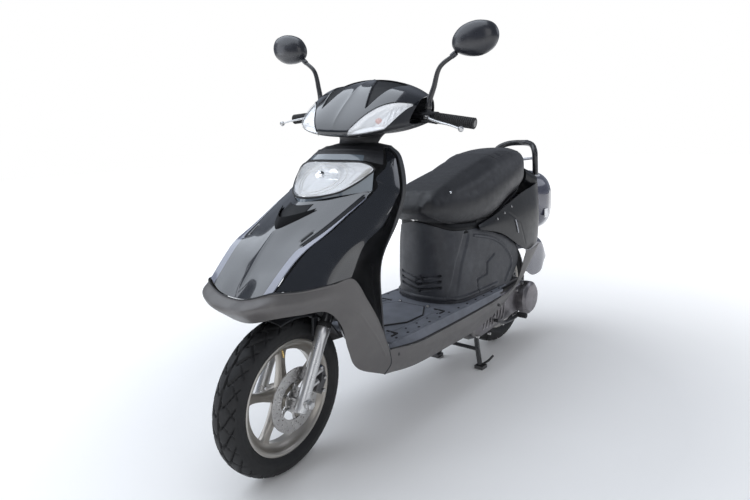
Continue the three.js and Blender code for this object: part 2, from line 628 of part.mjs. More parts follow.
function rimGeometry(centre, hubHalf, hubRadius) {
  const barrel = [
    ...[[RIM_HALF_WIDTH, RIM_RADIUS], [28, 157], [10, 144]],
    ...[[-10, 144], [-28, 157], [-RIM_HALF_WIDTH, RIM_RADIUS]],
    ...[[-30, 152], [-12, 136], [12, 136], [30, 152], [RIM_HALF_WIDTH, RIM_RADIUS]],
  ];
  const hub = disk(-hubHalf, hubHalf, hubRadius, [0, 0, 0], 16);
  const spoke = loft([
    [[-15, -17, 20], [15, -17, 20], [15, 17, 20], [-15, 17, 20]],
    [[-12, -13, 90], [12, -13, 90], [12, 13, 90], [-12, 13, 90]],
    [[-14, -19, 140], [14, -19, 140], [14, 19, 140], [-14, 19, 140]],
  ]);
  const spokes = Array.from({ length: 5 }, (_, i) => spoke.clone().rotateX((2 * Math.PI * i) / 5));
  const bore = rod([-90, 0, 0], [90, 0, 0], 7.4, 12);
  return moved(cut(join(turned(barrel), hub, ...spokes), bore), centre);
}

function buildWheels() {
  add("front_rim", rimGeometry(frontAxle, 46, 32), alloy, steering);
  add("front_tyre", turned(tyreProfile(), frontAxle), rubber, steering);
  const [near, far] = [DISC_X - 2, DISC_X + 2];
  const disc = [[near, 24], [far, 24], [far, DISC_RADIUS], [near, DISC_RADIUS], [near, 24]];
  const windows = Array.from({ length: 6 }, (_, i) =>
    moved(rod([DISC_X - 9, 0, 46], [DISC_X + 9, 0, 46], 9, 6).rotateX((Math.PI * i) / 3), frontAxle),
  );
  add("brake_disc", cut(turned(disc, frontAxle, 24), ...windows), bareMetal, steering);
  add("rear_rim", rimGeometry(rearAxle, 44, 55), alloy);
  add("rear_tyre", turned(tyreProfile(), rearAxle), rubber);
}

// ---- engine and rear suspension -------------------------------------------------------------
function buildEngine() {
  const [, pivotY, pivotZ] = SWING_PIVOT;
  const [, axleY, axleZ] = rearAxle;
  const arm = sidePlate(roundEnds(880, 222, 74, axleY, axleZ, 68), 54, 116, 4);
  const tyreRoom = disk(-60, 53, TYRE_RADIUS + 12, rearAxle, 40);
  const crankcase = cut(sidePlate(roundEnds(880, 222, 84, 940, 215, 66), -66, 60, 4), tyreRoom);
  const barrel = block([100, 110, 96], [0, 766, 250]);
  const head = block([112, 46, 108], [0, 700, 250]);
  const pivotTube = rod([-92, pivotY, pivotZ], [92, pivotY, pivotZ], 14, 10);
  const hanger = join(pivotTube, block([90, 94, 40], [0, 820, 200]));
  const [, standY, standZ] = STAND_PIVOT;
  const standLugs = [-1, 1].map((side) => block([14, 34, 46], [side * 50, standY, standZ + 14]));
  const standBore = rod([-70, standY, standZ], [70, standY, standZ], 7.5, 12);
  const axle = rod([-60, axleY, axleZ], [60, axleY, axleZ], 7, 12);
  const lug = block([20, 30, 40], [84, 1262, 318]);
  const body = join(arm, crankcase, barrel, head, hanger, ...standLugs, axle, lug);
  const lugBore = rod([60, ...SHOCK_FOOT.slice(1)], [120, ...SHOCK_FOOT.slice(1)], 5.4, 8);
  add("engine_unit", cut(body, standBore, lugBore), castMetal);
  const cover = sidePlate(roundEnds(888, 222, 62, axleY, axleZ, 58), 116.4, 146, 6);
  const drumProfile = [[140, 0], [140, 66], [146, 71], [172, 70], [182, 58], [184, 0]];
  const drum = turned(drumProfile, [0, WHEELBASE, 232], 20);
  const onKickAxis = (x) => [x, ...KICK_PIVOT];
  const kickBoss = rod(onKickAxis(140), onKickAxis(152), 16, 12);
  const kickBore = rod(onKickAxis(130), onKickAxis(160), 7, 10);
  add("transmission_cover", cut(join(cover, drum, kickBoss), kickBore), bareMetal);
  const kick = join(
    rod(onKickAxis(132), onKickAxis(170), 6.5, 10),
    tube([onKickAxis(164), [166, 1020, 186], [168, 1090, 179], [170, 1150, 184]], 7.5, 8, 8),
    rod([166, 1148, 185], [206, 1148, 185], 9, 10),
  );
  add("kick_starter", kick, blackSteel);
  const pipePath = [[-30, 700, 194], [-32, 700, 168], [-60, 740, 124]].concat(
    [[-104, 860, 112], [-112, 980, 150], [-112, 1060, 200]],
  );
  const mufflerRadii = [[1045, 26], [1070, 38], [1370, 40], [1400, 28]];
  const muffler = loft(mufflerRadii.map(([y, r]) => section(y, r, 212 - r, 212 + r, 2.2, 14)));
  add("exhaust", join(tube(pipePath, 13, 6, 14), moved(muffler, [-112, 0, 0])), blackSteel);
}

function buildShock() {
  const between = (t) => SHOCK_TOP.map((x, k) => x + (SHOCK_FOOT[k] - x) * t);
  const upper = join(rod(between(0.09), between(0.62), 17, 12), rod(between(0.59), between(0.64), 26, 12));
  add("shock_body", cut(upper, rod(between(0.2), between(0.7), 9.6, 12)), blackSteel);
  add("shock_rod", rod(between(0.47), between(0.86), 8, 12), bareMetal);
}

function buildStand() {
  const [, y, z] = STAND_PIVOT;
  const legPath = [[72, y, z], [82, y - 6, 78], [102, y - 18, 9]];
  const leg = (side) => tube(legPath.map(([x, ...rest]) => [side * x, ...rest]), 10, 6, 5);
  const foot = (side) => block([36, 40, 14], [side * 106, y - 20, 7]);
  const legs = join(
    ...[-1, 1].flatMap((side) => [leg(side), foot(side)]),
    rod([-76, y, z], [76, y, z], 7, 10),
    rod([-86, y - 8, 72], [86, y - 8, 72], 8, 8),
    tube([[104, y - 18, 12], [126, y - 6, 26], [132, y + 34, 40]], 5, 6, 4),
  );
  add("centre_stand", legs, blackSteel);
}

buildFrontPanels();
buildLowerPanels();
buildLegShield();
buildFloor();
buildRearPanels();
buildInterior();
buildSeat();
buildFrame();
buildForkUpper();
buildHandlebar();
buildBarCovers();
buildLevers();
buildMirrors();
buildForkLower();
buildWheels();
buildEngine();
buildShock();
buildStand();

export default scooter;
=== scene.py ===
"""Looks of a step-through moped scooter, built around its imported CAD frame. Metres, +Z up, facing -Y."""

import json
import math

import bmesh
import bpy
import numpy as np
from mathutils import Matrix, Vector
from mathutils.bvhtree import BVHTree

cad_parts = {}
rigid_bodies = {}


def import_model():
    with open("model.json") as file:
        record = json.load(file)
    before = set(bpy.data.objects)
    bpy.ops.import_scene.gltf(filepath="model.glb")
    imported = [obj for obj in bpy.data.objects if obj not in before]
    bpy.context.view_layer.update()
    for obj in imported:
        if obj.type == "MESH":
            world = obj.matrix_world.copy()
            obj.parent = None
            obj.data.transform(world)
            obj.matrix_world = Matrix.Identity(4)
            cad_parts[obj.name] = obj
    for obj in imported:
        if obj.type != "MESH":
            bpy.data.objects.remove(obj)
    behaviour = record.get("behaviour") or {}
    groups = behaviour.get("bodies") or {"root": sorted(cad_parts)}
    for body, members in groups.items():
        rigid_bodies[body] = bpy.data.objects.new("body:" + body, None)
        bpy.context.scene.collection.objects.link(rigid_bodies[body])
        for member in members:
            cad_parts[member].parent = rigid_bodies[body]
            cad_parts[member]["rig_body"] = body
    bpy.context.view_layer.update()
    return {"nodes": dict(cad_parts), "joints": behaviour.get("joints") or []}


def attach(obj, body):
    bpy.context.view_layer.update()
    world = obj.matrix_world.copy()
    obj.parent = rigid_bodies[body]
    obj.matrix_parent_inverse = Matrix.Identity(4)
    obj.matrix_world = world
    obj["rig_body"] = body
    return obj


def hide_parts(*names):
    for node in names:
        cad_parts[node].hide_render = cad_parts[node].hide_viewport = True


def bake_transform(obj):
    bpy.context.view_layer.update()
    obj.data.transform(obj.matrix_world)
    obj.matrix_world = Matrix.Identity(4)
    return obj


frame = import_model()
nodes = frame["nodes"]
joints = {joint["name"]: joint for joint in frame["joints"]}
scene = bpy.context.scene

# ---- driving dimensions -------------------------------------------------------------------
REAR_AXLE = Vector(joints["rear_wheel_spin"]["pos_m"])
WHEELBASE = 1.25
AXLE_Y = REAR_AXLE.y - WHEELBASE  # y of the front axle with the bars straight
TYRE_RADIUS = 233.5  # in millimetres, as are all points given to at()
RAKE = math.radians(27)
STEER_AXIS = Vector((0, math.sin(RAKE), math.cos(RAKE)))
STEER_FOOT = Vector((0, AXLE_Y - 0.08, 0))
REST_STEER = math.radians(6.56)
STEER = (
    Matrix.Translation(STEER_FOOT)
    @ Matrix.Rotation(REST_STEER, 4, STEER_AXIS)
    @ Matrix.Translation(-STEER_FOOT)
)
SIDES = ((1, "left"), (-1, "right"))  # the scooter's own left is +X


# ---- camera -------------------------------------------------------------------------------
CAMERA_PLACE = (1.2181, AXLE_Y - 0.9895, 0.979)
AZIMUTH, PITCH, ROLL = 0.7052, 0.2124, -0.0364
FOCAL_LENGTH = 27.85


def make_camera():
    level_ahead = math.cos(PITCH)
    ahead = Vector((-math.sin(AZIMUTH) * level_ahead, math.cos(AZIMUTH) * level_ahead, -math.sin(PITCH)))
    level = Vector((math.cos(AZIMUTH), math.sin(AZIMUTH), 0))
    upright = level.cross(ahead)
    right = level * math.cos(ROLL) + upright * math.sin(ROLL)
    up = upright * math.cos(ROLL) - level * math.sin(ROLL)
    data = bpy.data.cameras.new("camera")
    data.sensor_width = 36
    data.lens = FOCAL_LENGTH
    camera = bpy.data.objects.new("camera", data)
    scene.collection.objects.link(camera)
    turn = Matrix((right, up, -ahead)).transposed().to_4x4()
    camera.matrix_world = Matrix.Translation(CAMERA_PLACE) @ turn
    scene.camera = camera


# ---- point grids --------------------------------------------------------------------------
def at(points):
    """Points given in millimetres from the ground under the front axle, in the frame's metres."""
    return np.asarray(points, float) / 1000 + (0, AXLE_Y, 0)


def at_side(points, s):
    """The same for points drawn for the left side; s is -1 for their mirror image."""
    return at([(s * x, y, z) for x, y, z in points])


def smooth(points, t):
    """Catmull-Rom curve through points, at parameters t from 0 to 1. A point may be an array of points."""
    p = np.asarray(points, float)
    p = np.concatenate([2 * p[:1] - p[1:2], p, 2 * p[-1:] - p[-2:-1]])
    s = np.clip(np.atleast_1d(t), 0, 1) * (len(p) - 3)
    i = np.minimum(s.astype(int), len(p) - 4)
    f = (s - i).reshape(-1, *[1] * (p.ndim - 1))
    a, b, c, d = p[i], p[i + 1], p[i + 2], p[i + 3]
    return 0.5 * (2 * b + (c - a) * f + (2 * a - 5 * b + 4 * c - d) * f**2 + (3 * b - a - 3 * c + d) * f**3)


def sheet(rows, u, v):
    """Grid of points on the smooth sheet through rows, at the parameters u along a row and v across the rows."""
    across = smooth(np.asarray(rows, float).transpose(1, 0, 2), u)
    return smooth(across.transpose(1, 0, 2), v)


def sheet_points(rows, u, v):
    """Points on the same sheet at pairs of parameters."""
    return np.array([sheet(rows, a, b)[0, 0] for a, b in zip(np.atleast_1d(u), np.atleast_1d(v))])


def points_and_normals(rows, u, v):
    points = sheet_points(rows, u, v)
    n = np.cross(sheet_points(rows, u + 0.01, v) - points, sheet_points(rows, u, v + 0.01) - points)
    return points, n / np.linalg.norm(n, axis=1, keepdims=True)


def both_sides(rows):
    """Rows that start on the middle plane, continued to the other side."""
    return [[(-x, y, z) for x, y, z in reversed(row[1:])] + list(row) for row in rows]


def steps(count):
    return np.linspace(0, 1, count + 1)


def smoothstep(low, high, x):
    t = np.clip((x - low) / (high - low), 0, 1)
    return t * t * (3 - 2 * t)


def rounded(x, power):
    """Sine or cosine of a circle, squared off to a superellipse of that power."""
    return np.sign(x) * np.abs(x) ** (2 / power)


def normals(grid):
    down = np.gradient(grid, axis=0)
    across = np.gradient(grid, axis=1)
    n = np.cross(across, down)
    return n / np.maximum(np.linalg.norm(n, axis=2, keepdims=True), 1e-12)


def distance_to(grid, path):
    """Distance of each grid point from a polyline."""
    best = np.full(grid.shape[:2], 1e9)
    for a, b in zip(path[:-1], path[1:]):
        d = b - a
        t = np.clip(((grid - a) @ d) / (d @ d), 0, 1)
        best = np.minimum(best, np.linalg.norm(grid - (a + t[..., None] * d), axis=2))
    return best


def dented(grid, path, half_width, depth):
    """The grid with a groove of that depth along a path; a negative depth raises a rib."""
    fade = 1 - smoothstep(half_width * 0.6, half_width * 1.4, distance_to(grid, path))
    return grid - normals(grid) * (fade * depth)[..., None]


# ---- mesh parts: a part is a pair of points and faces ---------------------------------------
def grid_part(grid, wrap=False, caps=False):
    """Quads over a grid; wrap joins the last column to the first, and caps closes the first and last rows."""
    rows, columns = grid.shape[:2]
    faces = []
    for j in range(rows - 1):
        for i in range(columns if wrap else columns - 1):
            k = (i + 1) % columns
            faces.append((j * columns + i, j * columns + k, (j + 1) * columns + k, (j + 1) * columns + i))
    if caps:
        faces.append(tuple(reversed(range(columns))))
        faces.append(tuple((rows - 1) * columns + i for i in range(columns)))
    return grid.reshape(-1, 3), faces


def merge(*parts):
    points, faces, start = [], [], 0
    for p, f in parts:
        points.append(np.asarray(p))
        faces += [tuple(i + start for i in face) for face in f]
        start += len(p)
    return np.concatenate(points), faces


def mirrored(part):
    points, faces = part
    return points * (-1, 1, 1), [tuple(reversed(face)) for face in faces]


def tube(points, radius, sides=16, count=None, flat=1.0):
    """Round bar along a smooth path. radius is a number or one for each path point; flat thins it upwards."""
    path = np.asarray(points, float)
    count = count or 8 * (len(path) - 1)
    t = steps(count)
    line = smooth(path, t)
    size = smooth(np.broadcast_to(np.asarray(radius, float), (len(path),)), t)
    ahead = np.gradient(line, axis=0)
    ahead /= np.linalg.norm(ahead, axis=1, keepdims=True)
    side = np.cross(ahead[0], (0, 0, 1) if abs(ahead[0][2]) < 0.9 else (1, 0, 0))
    rings = []
    angle = np.arange(sides) * 2 * math.pi / sides
    for k, centre in enumerate(line):
        side = side - ahead[k] * (side @ ahead[k])
        side /= np.linalg.norm(side)
        up = np.cross(side, ahead[k])
        rings.append(centre + size[k] * (np.outer(np.cos(angle), side) + flat * np.outer(np.sin(angle), up)))
    return grid_part(np.array(rings)[:, ::-1], wrap=True, caps=True)


def turned(profile, centre, axis=(1, 0, 0), segments=64):
    """Body turned about an axis through centre; the profile holds (distance along the axis, radius)."""
    axis = Vector(axis).normalized()
    side = axis.orthogonal().normalized() if abs(axis.x) < 0.999 else Vector((0, 0, 1))
    other = axis.cross(side)
    angle = np.arange(segments) * 2 * math.pi / segments
    ring = np.outer(np.cos(angle), side) + np.outer(np.sin(angle), other)
    profile = np.asarray(profile, float)
    grid = np.array([np.array(centre) + np.array(axis) * x + ring * max(r, 1e-5) for x, r in profile])
    return grid_part(grid[:, ::-1], wrap=True, caps=True)


def ring_solid(profile, centre, segments=96):
    """Closed ring about an axis along X, from a closed profile of (x, radius) pairs."""
    angle = np.arange(segments) * 2 * math.pi / segments
    loops = [
        [(centre[0] + x, centre[1] + r * math.sin(a), centre[2] + r * math.cos(a)) for x, r in profile]
        for a in angle
    ]
    grid = np.array(loops + loops[:1])
    return grid_part(grid, wrap=True)


def loft(rings, caps=True):
    return grid_part(np.asarray(rings, float)[:, ::-1], wrap=True, caps=caps)


def section(y, half, bottom, top, power=3.0, count=64):
    """Superellipse across the scooter at y."""
    angle = 2 * math.pi * (np.arange(count) + 0.5) / count
    z = (top + bottom) / 2 + (top - bottom) / 2 * rounded(np.sin(angle), power)
    return np.stack([half * rounded(np.cos(angle), power), np.full(count, float(y)), z], axis=1)


def block(size, centre, bevel=0.15):
    """Box with chamfered edges, as a loft."""
    sx, sy, sz = np.asarray(size, float) / 2
    c = bevel * min(sx, sy, sz)

    def ring(a, b):
        near, far = [(-a, -b + c), (-a + c, -b)], [(-a + c, b), (-a, b - c)]
        return near + [(-x, y) for x, y in reversed(near)] + [(-x, y) for x, y in reversed(far)] + far

    levels = [(-sz, -c), (-sz + c, 0), (sz - c, 0), (sz, -c)]
    grid = np.array([[(x, y, z) for x, y in ring(sx + d, sy + d)] for z, d in levels])
    return grid_part(grid + np.asarray(centre, float), wrap=True, caps=True)


def dome_screw(centre, axis, radius):
    """Round screw head with a recess, standing on its face."""
    r = radius
    profile = [(-r, 0), (-r, r * 0.9), (0.1 * r, r), (0.45 * r, 0.85 * r), (0.62 * r, 0.5 * r), (0.62 * r, 0.34 * r),
               (0.3 * r, 0.3 * r), (0.3 * r, 0)]
    return turned(profile, centre, axis, 18)


def hex_bolt(centre, axis, radius):
    """Six-sided head with a chamfered top."""
    r = radius
    return turned([(-r, 0), (-r, r), (0.55 * r, r), (0.75 * r, 0.8 * r), (0.75 * r, 0)], centre, axis, 6)


# ---- making objects -------------------------------------------------------------------------
def make(name, part, body, slot, look, replaces=None, steered=False, sharp=35, wall=0, bevel=0, paint=None):
    points, faces = part
    mesh = bpy.data.meshes.new(name)
    mesh.from_pydata([tuple(p) for p in points], [], faces)
    if steered:
        mesh.transform(STEER)
    looks = look if isinstance(look, (list, tuple)) else [look]
    for m in looks:
        mesh.materials.append(m)
    if paint is not None:
        mesh.polygons.foreach_set("material_index", np.asarray(paint, np.int32).ravel())
    work = bmesh.new()
    work.from_mesh(mesh)
    if not wall:
        bmesh.ops.remove_doubles(work, verts=work.verts, dist=1e-6)
        bmesh.ops.recalc_face_normals(work, faces=work.faces)
    work.to_mesh(mesh)
    work.free()
    mesh.shade_smooth()
    mesh.set_sharp_from_angle(angle=math.radians(sharp))
    obj = bpy.data.objects.new(name, mesh)
    scene.collection.objects.link(obj)
    if wall:
        solid = obj.modifiers.new("wall", "SOLIDIFY")
        solid.thickness = wall
        solid.offset = -1
        solid.use_even_offset = True
    if bevel:
        edge = obj.modifiers.new("edge", "BEVEL")
        edge.width = bevel
        edge.segments = 2
        edge.limit_method = "ANGLE"
        edge.angle_limit = math.radians(40)
        edge.harden_normals = True
    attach(obj, body)
    if replaces:
        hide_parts(replaces)
    return obj


def panel(name, grid, body, slot, look, wall=0.003, flip=False, **more):
    """Thin moulded panel behind a grid, with rolled edges."""
    grid = grid[::-1] if flip else grid
    return make(name, grid_part(grid), body, slot, look, wall=wall, bevel=min(0.0012, wall * 0.4), sharp=60, **more)


def refined(node, look, bevel=0.0012, angle=35):
    """A copy of a CAD node with its edges rounded and its round faces shaded smooth."""
    source = nodes[node]
    mesh = source.data.copy()
    work = bmesh.new()
    work.from_mesh(mesh)
    bmesh.ops.remove_doubles(work, verts=work.verts, dist=1e-5)
    bmesh.ops.dissolve_limit(work, angle_limit=math.radians(2), verts=work.verts, edges=work.edges)
    work.to_mesh(mesh)
    work.free()
    mesh.materials.clear()
    mesh.materials.append(look)
    mesh.shade_smooth()
    mesh.set_sharp_from_angle(angle=math.radians(angle))
    obj = bpy.data.objects.new(node + "_finished", mesh)
    scene.collection.objects.link(obj)
    edge = obj.modifiers.new("edge", "BEVEL")
    edge.width = bevel
    edge.segments = 2
    edge.limit_method = "ANGLE"
    edge.angle_limit = math.radians(angle)
    edge.harden_normals = True
    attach(obj, source["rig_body"])
    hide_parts(node)
    return obj


def on_side(part, sign):
    """A part drawn for the left, on the side of that sign."""
    return part if sign > 0 else mirrored(part)


def dress(node, look):
    """A CAD node that stays as it is, with a better material."""
    obj = nodes[node]
    if not obj.material_slots:
        obj.data.materials.append(look)
    for slot in obj.material_slots:
        slot.material = look


# ---- materials ------------------------------------------------------------------------------
def look(name, color, roughness, metallic=0.0, vary=0.12, vary_scale=5.0, rough_vary=0.05,
         grain=None, coat=0.0, coat_rough=0.03, wear=None, dust=None, **direct):
    """Principled material. grain is (kind, cells per metre, strength, depth in metres); wear is an edge colour;
    dust is (colour, strength); direct gives other inputs of the shader by name."""
    m = bpy.data.materials.new(name)
    m.use_nodes = True
    tree = m.node_tree
    shader = tree.nodes["Principled BSDF"]
    new, wire = tree.nodes.new, tree.links.new
    where = new("ShaderNodeTexCoord").outputs["Object"]

    def noise(scale, detail=4.0, rough=0.55):
        n = new("ShaderNodeTexNoise")
        n.inputs["Scale"].default_value = scale
        n.inputs["Detail"].default_value = detail
        n.inputs["Roughness"].default_value = rough
        wire(where, n.inputs["Vector"])
        return n.outputs["Fac"]

    def mixed(factor, a, b):
        mix = new("ShaderNodeMix")
        mix.data_type = "RGBA"
        wire(factor, mix.inputs["Factor"])
        for socket, value in ((mix.inputs["A"], a), (mix.inputs["B"], b)):
            if isinstance(value, bpy.types.NodeSocket):
                wire(value, socket)
            else:
                socket.default_value = (*value, 1)
        return mix.outputs["Result"]

    def ranged(value, low, high, start=0.3, end=0.7):
        r = new("ShaderNodeMapRange")
        r.inputs["From Min"].default_value = start
        r.inputs["From Max"].default_value = end
        r.inputs["To Min"].default_value = low
        r.inputs["To Max"].default_value = high
        wire(value, r.inputs["Value"])
        return r.outputs["Result"]

    dark = [c * (1 - vary) for c in color]
    light = [min(1, c * (1 + vary)) for c in color]
    colour = mixed(ranged(noise(vary_scale), 0, 1), dark, light)
    if dust:
        colour = mixed(ranged(noise(14, 8, 0.7), 0, dust[1], 0.45, 0.75), colour, dust[0])
    if wear:
        point = new("ShaderNodeNewGeometry").outputs["Pointiness"]
        colour = mixed(ranged(point, 0, 0.7, 0.53, 0.6), colour, wear)
    wire(colour, shader.inputs["Base Color"])
    smudges = ranged(noise(40, 6), max(0.01, roughness - rough_vary), min(1, roughness + rough_vary))
    wire(smudges, shader.inputs["Roughness"])
    shader.inputs["Metallic"].default_value = metallic
    shader.inputs["Coat Weight"].default_value = coat
    shader.inputs["Coat Roughness"].default_value = coat_rough
    for key, value in direct.items():
        shader.inputs[key.replace("_", " ")].default_value = value
    if grain:
        kind, scale, strength, depth = grain
        if kind == "cells":
            cells = new("ShaderNodeTexVoronoi")
            cells.feature = "SMOOTH_F1"
            cells.inputs["Scale"].default_value = scale
            wire(where, cells.inputs["Vector"])
            height = cells.outputs["Distance"]
        else:
            height = noise(scale, 3)
        bump = new("ShaderNodeBump")
        bump.inputs["Strength"].default_value = strength
        bump.inputs["Distance"].default_value = depth
        wire(height, bump.inputs["Height"])
        wire(bump.outputs["Normal"], shader.inputs["Normal"])
    return m


def glass_look(name, color, alpha, roughness=0.03):
    m = look(name, color, roughness, vary=0.03, rough_vary=0.01, grain=("noise", 60, 0.05, 0.0005), coat=0.6)
    shader = m.node_tree.nodes["Principled BSDF"]
    shader.inputs["Alpha"].default_value = alpha
    shader.inputs["Specular IOR Level"].default_value = 0.8
    return m


GLOSS = look("gloss_black_paint", (0.006, 0.0072, 0.010), 0.16, vary=0.3, rough_vary=0.03, coat=1.0,
             coat_rough=0.02, grain=("noise", 260, 0.03, 0.0003), dust=((0.02, 0.022, 0.026), 0.2))
VISOR = look("visor_blue_grey", (0.10, 0.125, 0.15), 0.14, vary=0.12, coat=1.0, grain=("noise", 200, 0.03, 0.0003))
SATIN = look("satin_warm_grey", (0.094, 0.089, 0.088), 0.42, vary=0.07, vary_scale=9, rough_vary=0.05,
             grain=("noise", 900, 0.12, 0.0003), coat=0.12, coat_rough=0.3, dust=((0.15, 0.145, 0.14), 0.3))
MATT = look("matt_black_moulding", (0.017, 0.018, 0.021), 0.5, vary=0.15, grain=("cells", 700, 0.25, 0.0004),
            dust=((0.045, 0.045, 0.05), 0.4))
MOULDED = look("grained_grey_moulding", (0.025, 0.027, 0.034), 0.47, vary=0.12, vary_scale=7,
               grain=("cells", 900, 0.3, 0.0004), dust=((0.075, 0.08, 0.09), 0.45))
VINYL = look("seat_vinyl", (0.0075, 0.008, 0.0105), 0.46, vary=0.15, vary_scale=8, rough_vary=0.07,
             grain=("cells", 520, 0.45, 0.0006), Sheen_Weight=0.06, Sheen_Roughness=0.5)
RUBBER = look("rubber", (0.014, 0.014, 0.015), 0.72, vary=0.15, grain=("noise", 700, 0.3, 0.0004),
              dust=((0.05, 0.05, 0.05), 0.3))
DECK = look("deck_rubber", (0.132, 0.143, 0.170), 0.62, vary=0.2, vary_scale=20, grain=("cells", 330, 0.5, 0.0008),
            dust=((0.16, 0.165, 0.18), 0.4))
TYRE = look("tyre_rubber", (0.0055, 0.0055, 0.0062), 0.6, vary=0.2, grain=("noise", 420, 0.35, 0.0005),
            dust=((0.028, 0.028, 0.028), 0.3))
SIDE_GLOSS = look("side_cover_black", (0.0065, 0.0072, 0.009), 0.36, vary=0.2, rough_vary=0.04, coat=0.08,
                  coat_rough=0.12, Specular_IOR_Level=0.3, grain=("noise", 300, 0.04, 0.0003),
                  dust=((0.02, 0.022, 0.026), 0.25))
DEEP = look("deep_black", (0.0035, 0.0038, 0.005), 0.5, vary=0.2, grain=("noise", 260, 0.1, 0.0003),
            Specular_IOR_Level=0.2)
# Painted reflection: pale blue-grey paint for the hood's edges, standing for the bright reflection that runs along
# them.
EDGE_REFLECTION_BAND = look("hood_edge_painted_reflection", (0.15, 0.16, 0.21), 0.2, vary=0.1, coat=1.0, coat_rough=0.03,
                 grain=("noise", 260, 0.03, 0.0003))
PURPLE = look("tail_purple_grey", (0.055, 0.057, 0.085), 0.22, vary=0.12, coat=1.0, coat_rough=0.05,
              grain=("noise", 260, 0.03, 0.0003), dust=((0.09, 0.09, 0.12), 0.3))
RIM = look("champagne_alloy_paint", (0.36, 0.335, 0.30), 0.34, metallic=0.75, vary=0.08,
           grain=("noise", 1500, 0.06, 0.0002), coat=0.5, coat_rough=0.15, wear=(0.6, 0.58, 0.54))
STEEL = look("ground_steel", (0.52, 0.51, 0.50), 0.28, metallic=1.0, vary=0.1, vary_scale=30, rough_vary=0.08,
             grain=("noise", 900, 0.08, 0.0002))
SILVER = look("fork_silver", (0.60, 0.60, 0.60), 0.30, metallic=0.85, vary=0.06, grain=("noise", 1200, 0.08, 0.0002),
              coat=0.3, coat_rough=0.15)
CAST = look("cast_alloy", (0.12, 0.12, 0.125), 0.52, metallic=0.75, vary=0.2, vary_scale=14,
            grain=("noise", 480, 0.45, 0.0006), wear=(0.42, 0.40, 0.37), dust=((0.06, 0.05, 0.04), 0.6))
DRUM = look("drive_case_alloy", (0.20, 0.19, 0.20), 0.36, metallic=0.9, vary=0.2, vary_scale=18, rough_vary=0.1,
            grain=("noise", 350, 0.15, 0.0004), wear=(0.7, 0.68, 0.66), dust=((0.10, 0.08, 0.06), 0.4))
STEEL_BLACK = look("black_enamel", (0.012, 0.012, 0.014), 0.32, vary=0.2, coat=0.4, coat_rough=0.15,
                   grain=("noise", 300, 0.06, 0.0003), wear=(0.09, 0.09, 0.09))
CHROME = look("chrome_plate", (0.86, 0.87, 0.88), 0.06, metallic=1.0, vary=0.03, rough_vary=0.02,
              grain=("noise", 80, 0.03, 0.0003))
CLEAR = glass_look("clear_polycarbonate", (0.93, 0.95, 0.97), 0.16)
TAIL = glass_look("tail_lens_red", (0.16, 0.05, 0.09), 0.85, 0.08)
MIRROR = look("silvered_glass", (0.86, 0.88, 0.9), 0.03, metallic=1.0, vary=0.02, rough_vary=0.01,
              grain=("noise", 30, 0.01, 0.0002))
MIRROR_SHELL = look("mirror_shell_black", (0.014, 0.015, 0.02), 0.3, vary=0.15, coat=0.35, coat_rough=0.2,
                    grain=("cells", 900, 0.15, 0.0003))
BULB = look("bulb_glass", (0.9, 0.92, 0.95), 0.08, vary=0.04, coat=1.0, grain=("noise", 90, 0.05, 0.0003))
AMBER = look("bulb_amber", (0.80, 0.40, 0.34), 0.25, vary=0.1, coat=0.8, grain=("noise", 90, 0.05, 0.0003))
BRASS = look("brass", (0.62, 0.45, 0.18), 0.3, metallic=1.0, vary=0.15, grain=("noise", 500, 0.1, 0.0002))
BLUE = look("blue_fitting", (0.03, 0.12, 0.42), 0.3, metallic=0.5, vary=0.1, grain=("noise", 500, 0.1, 0.0002))
WHITE = look("white_reflector", (0.75, 0.76, 0.78), 0.2, vary=0.05, coat=0.8, grain=("cells", 500, 0.3, 0.0004))
LIGHT_GREY = look("pale_grey_trim", (0.45, 0.46, 0.50), 0.35, vary=0.08, coat=0.3, grain=("noise", 500, 0.1, 0.0003))
DULL = look("headlight_inner_white", (0.88, 0.89, 0.91), 0.2, metallic=0.3, vary=0.05,
            grain=("noise", 40, 0.06, 0.0006), coat=0.4)

# ---- front panels -----------------------------------------------------------------------------
HOOD = at(both_sides([
    [(0, -126, 554), (64, -127, 563), (130, -106, 584)],
    [(0, -80, 604), (70, -73, 614), (136, -54, 634)],
    [(0, -27, 662), (76, -14, 668), (144, -4, 671)],
    [(0, 45, 723), (80, 70, 723), (153, 87, 713)],
    [(0, 124, 773), (84, 175, 786), (164, 248, 799)],
]))
SIDE_PANEL = at([
    [(134, -100, 583), (164, -40, 579), (186, 30, 580), (195, 112, 583)],
    [(148, 0, 668), (175, 50, 664), (191, 105, 662), (197, 165, 660)],
    [(158, 91, 711), (180, 140, 707), (192, 195, 705), (196, 250, 703)],
    [(169, 254, 798), (180, 272, 790), (189, 292, 778), (193, 312, 764)],
    [(162, 268, 832), (175, 286, 827), (186, 312, 816), (193, 335, 797)],
    [(168, 306, 861), (170, 322, 868), (170, 338, 873), (168, 353, 876)],
    [(148, 334, 890), (149, 344, 893), (149, 353, 895), (148, 361, 896)],
    [(120, 362, 911), (121, 365, 911), (122, 367, 911), (122, 369, 911)],
])
LENS = at(both_sides([
    [(0, 131, 784), (50, 148, 787), (95, 184, 798), (128, 226, 822), (150, 266, 848)],
    [(0, 196, 826), (52, 203, 829), (98, 224, 835), (131, 250, 846), (151, 270, 852)],
    [(0, 262, 878), (55, 264, 878), (103, 270, 876), (135, 274, 868), (152, 275, 857)],
]))
COWL = at(both_sides([list(row) for row in zip(*[
    [(0, -128, 551), (0, -158, 526), (0, -112, 483)],
    [(64, -131, 559), (72, -159, 534), (65, -116, 494)],
    [(130, -111, 579), (141, -127, 549), (124, -96, 511)],
    [(164, -42, 575), (172, -48, 544), (154, -40, 511)],
    [(186, 50, 576), (189, 48, 535), (168, 38, 500)],
    [(195, 118, 576), (195, 110, 500), (170, 90, 446)],
    [(199, 168, 505), (198, 150, 425), (174, 108, 372)],
    [(201, 212, 430), (200, 200, 355), (176, 142, 305)],
    [(201, 254, 332), (199, 262, 286), (182, 250, 250)],
])]))
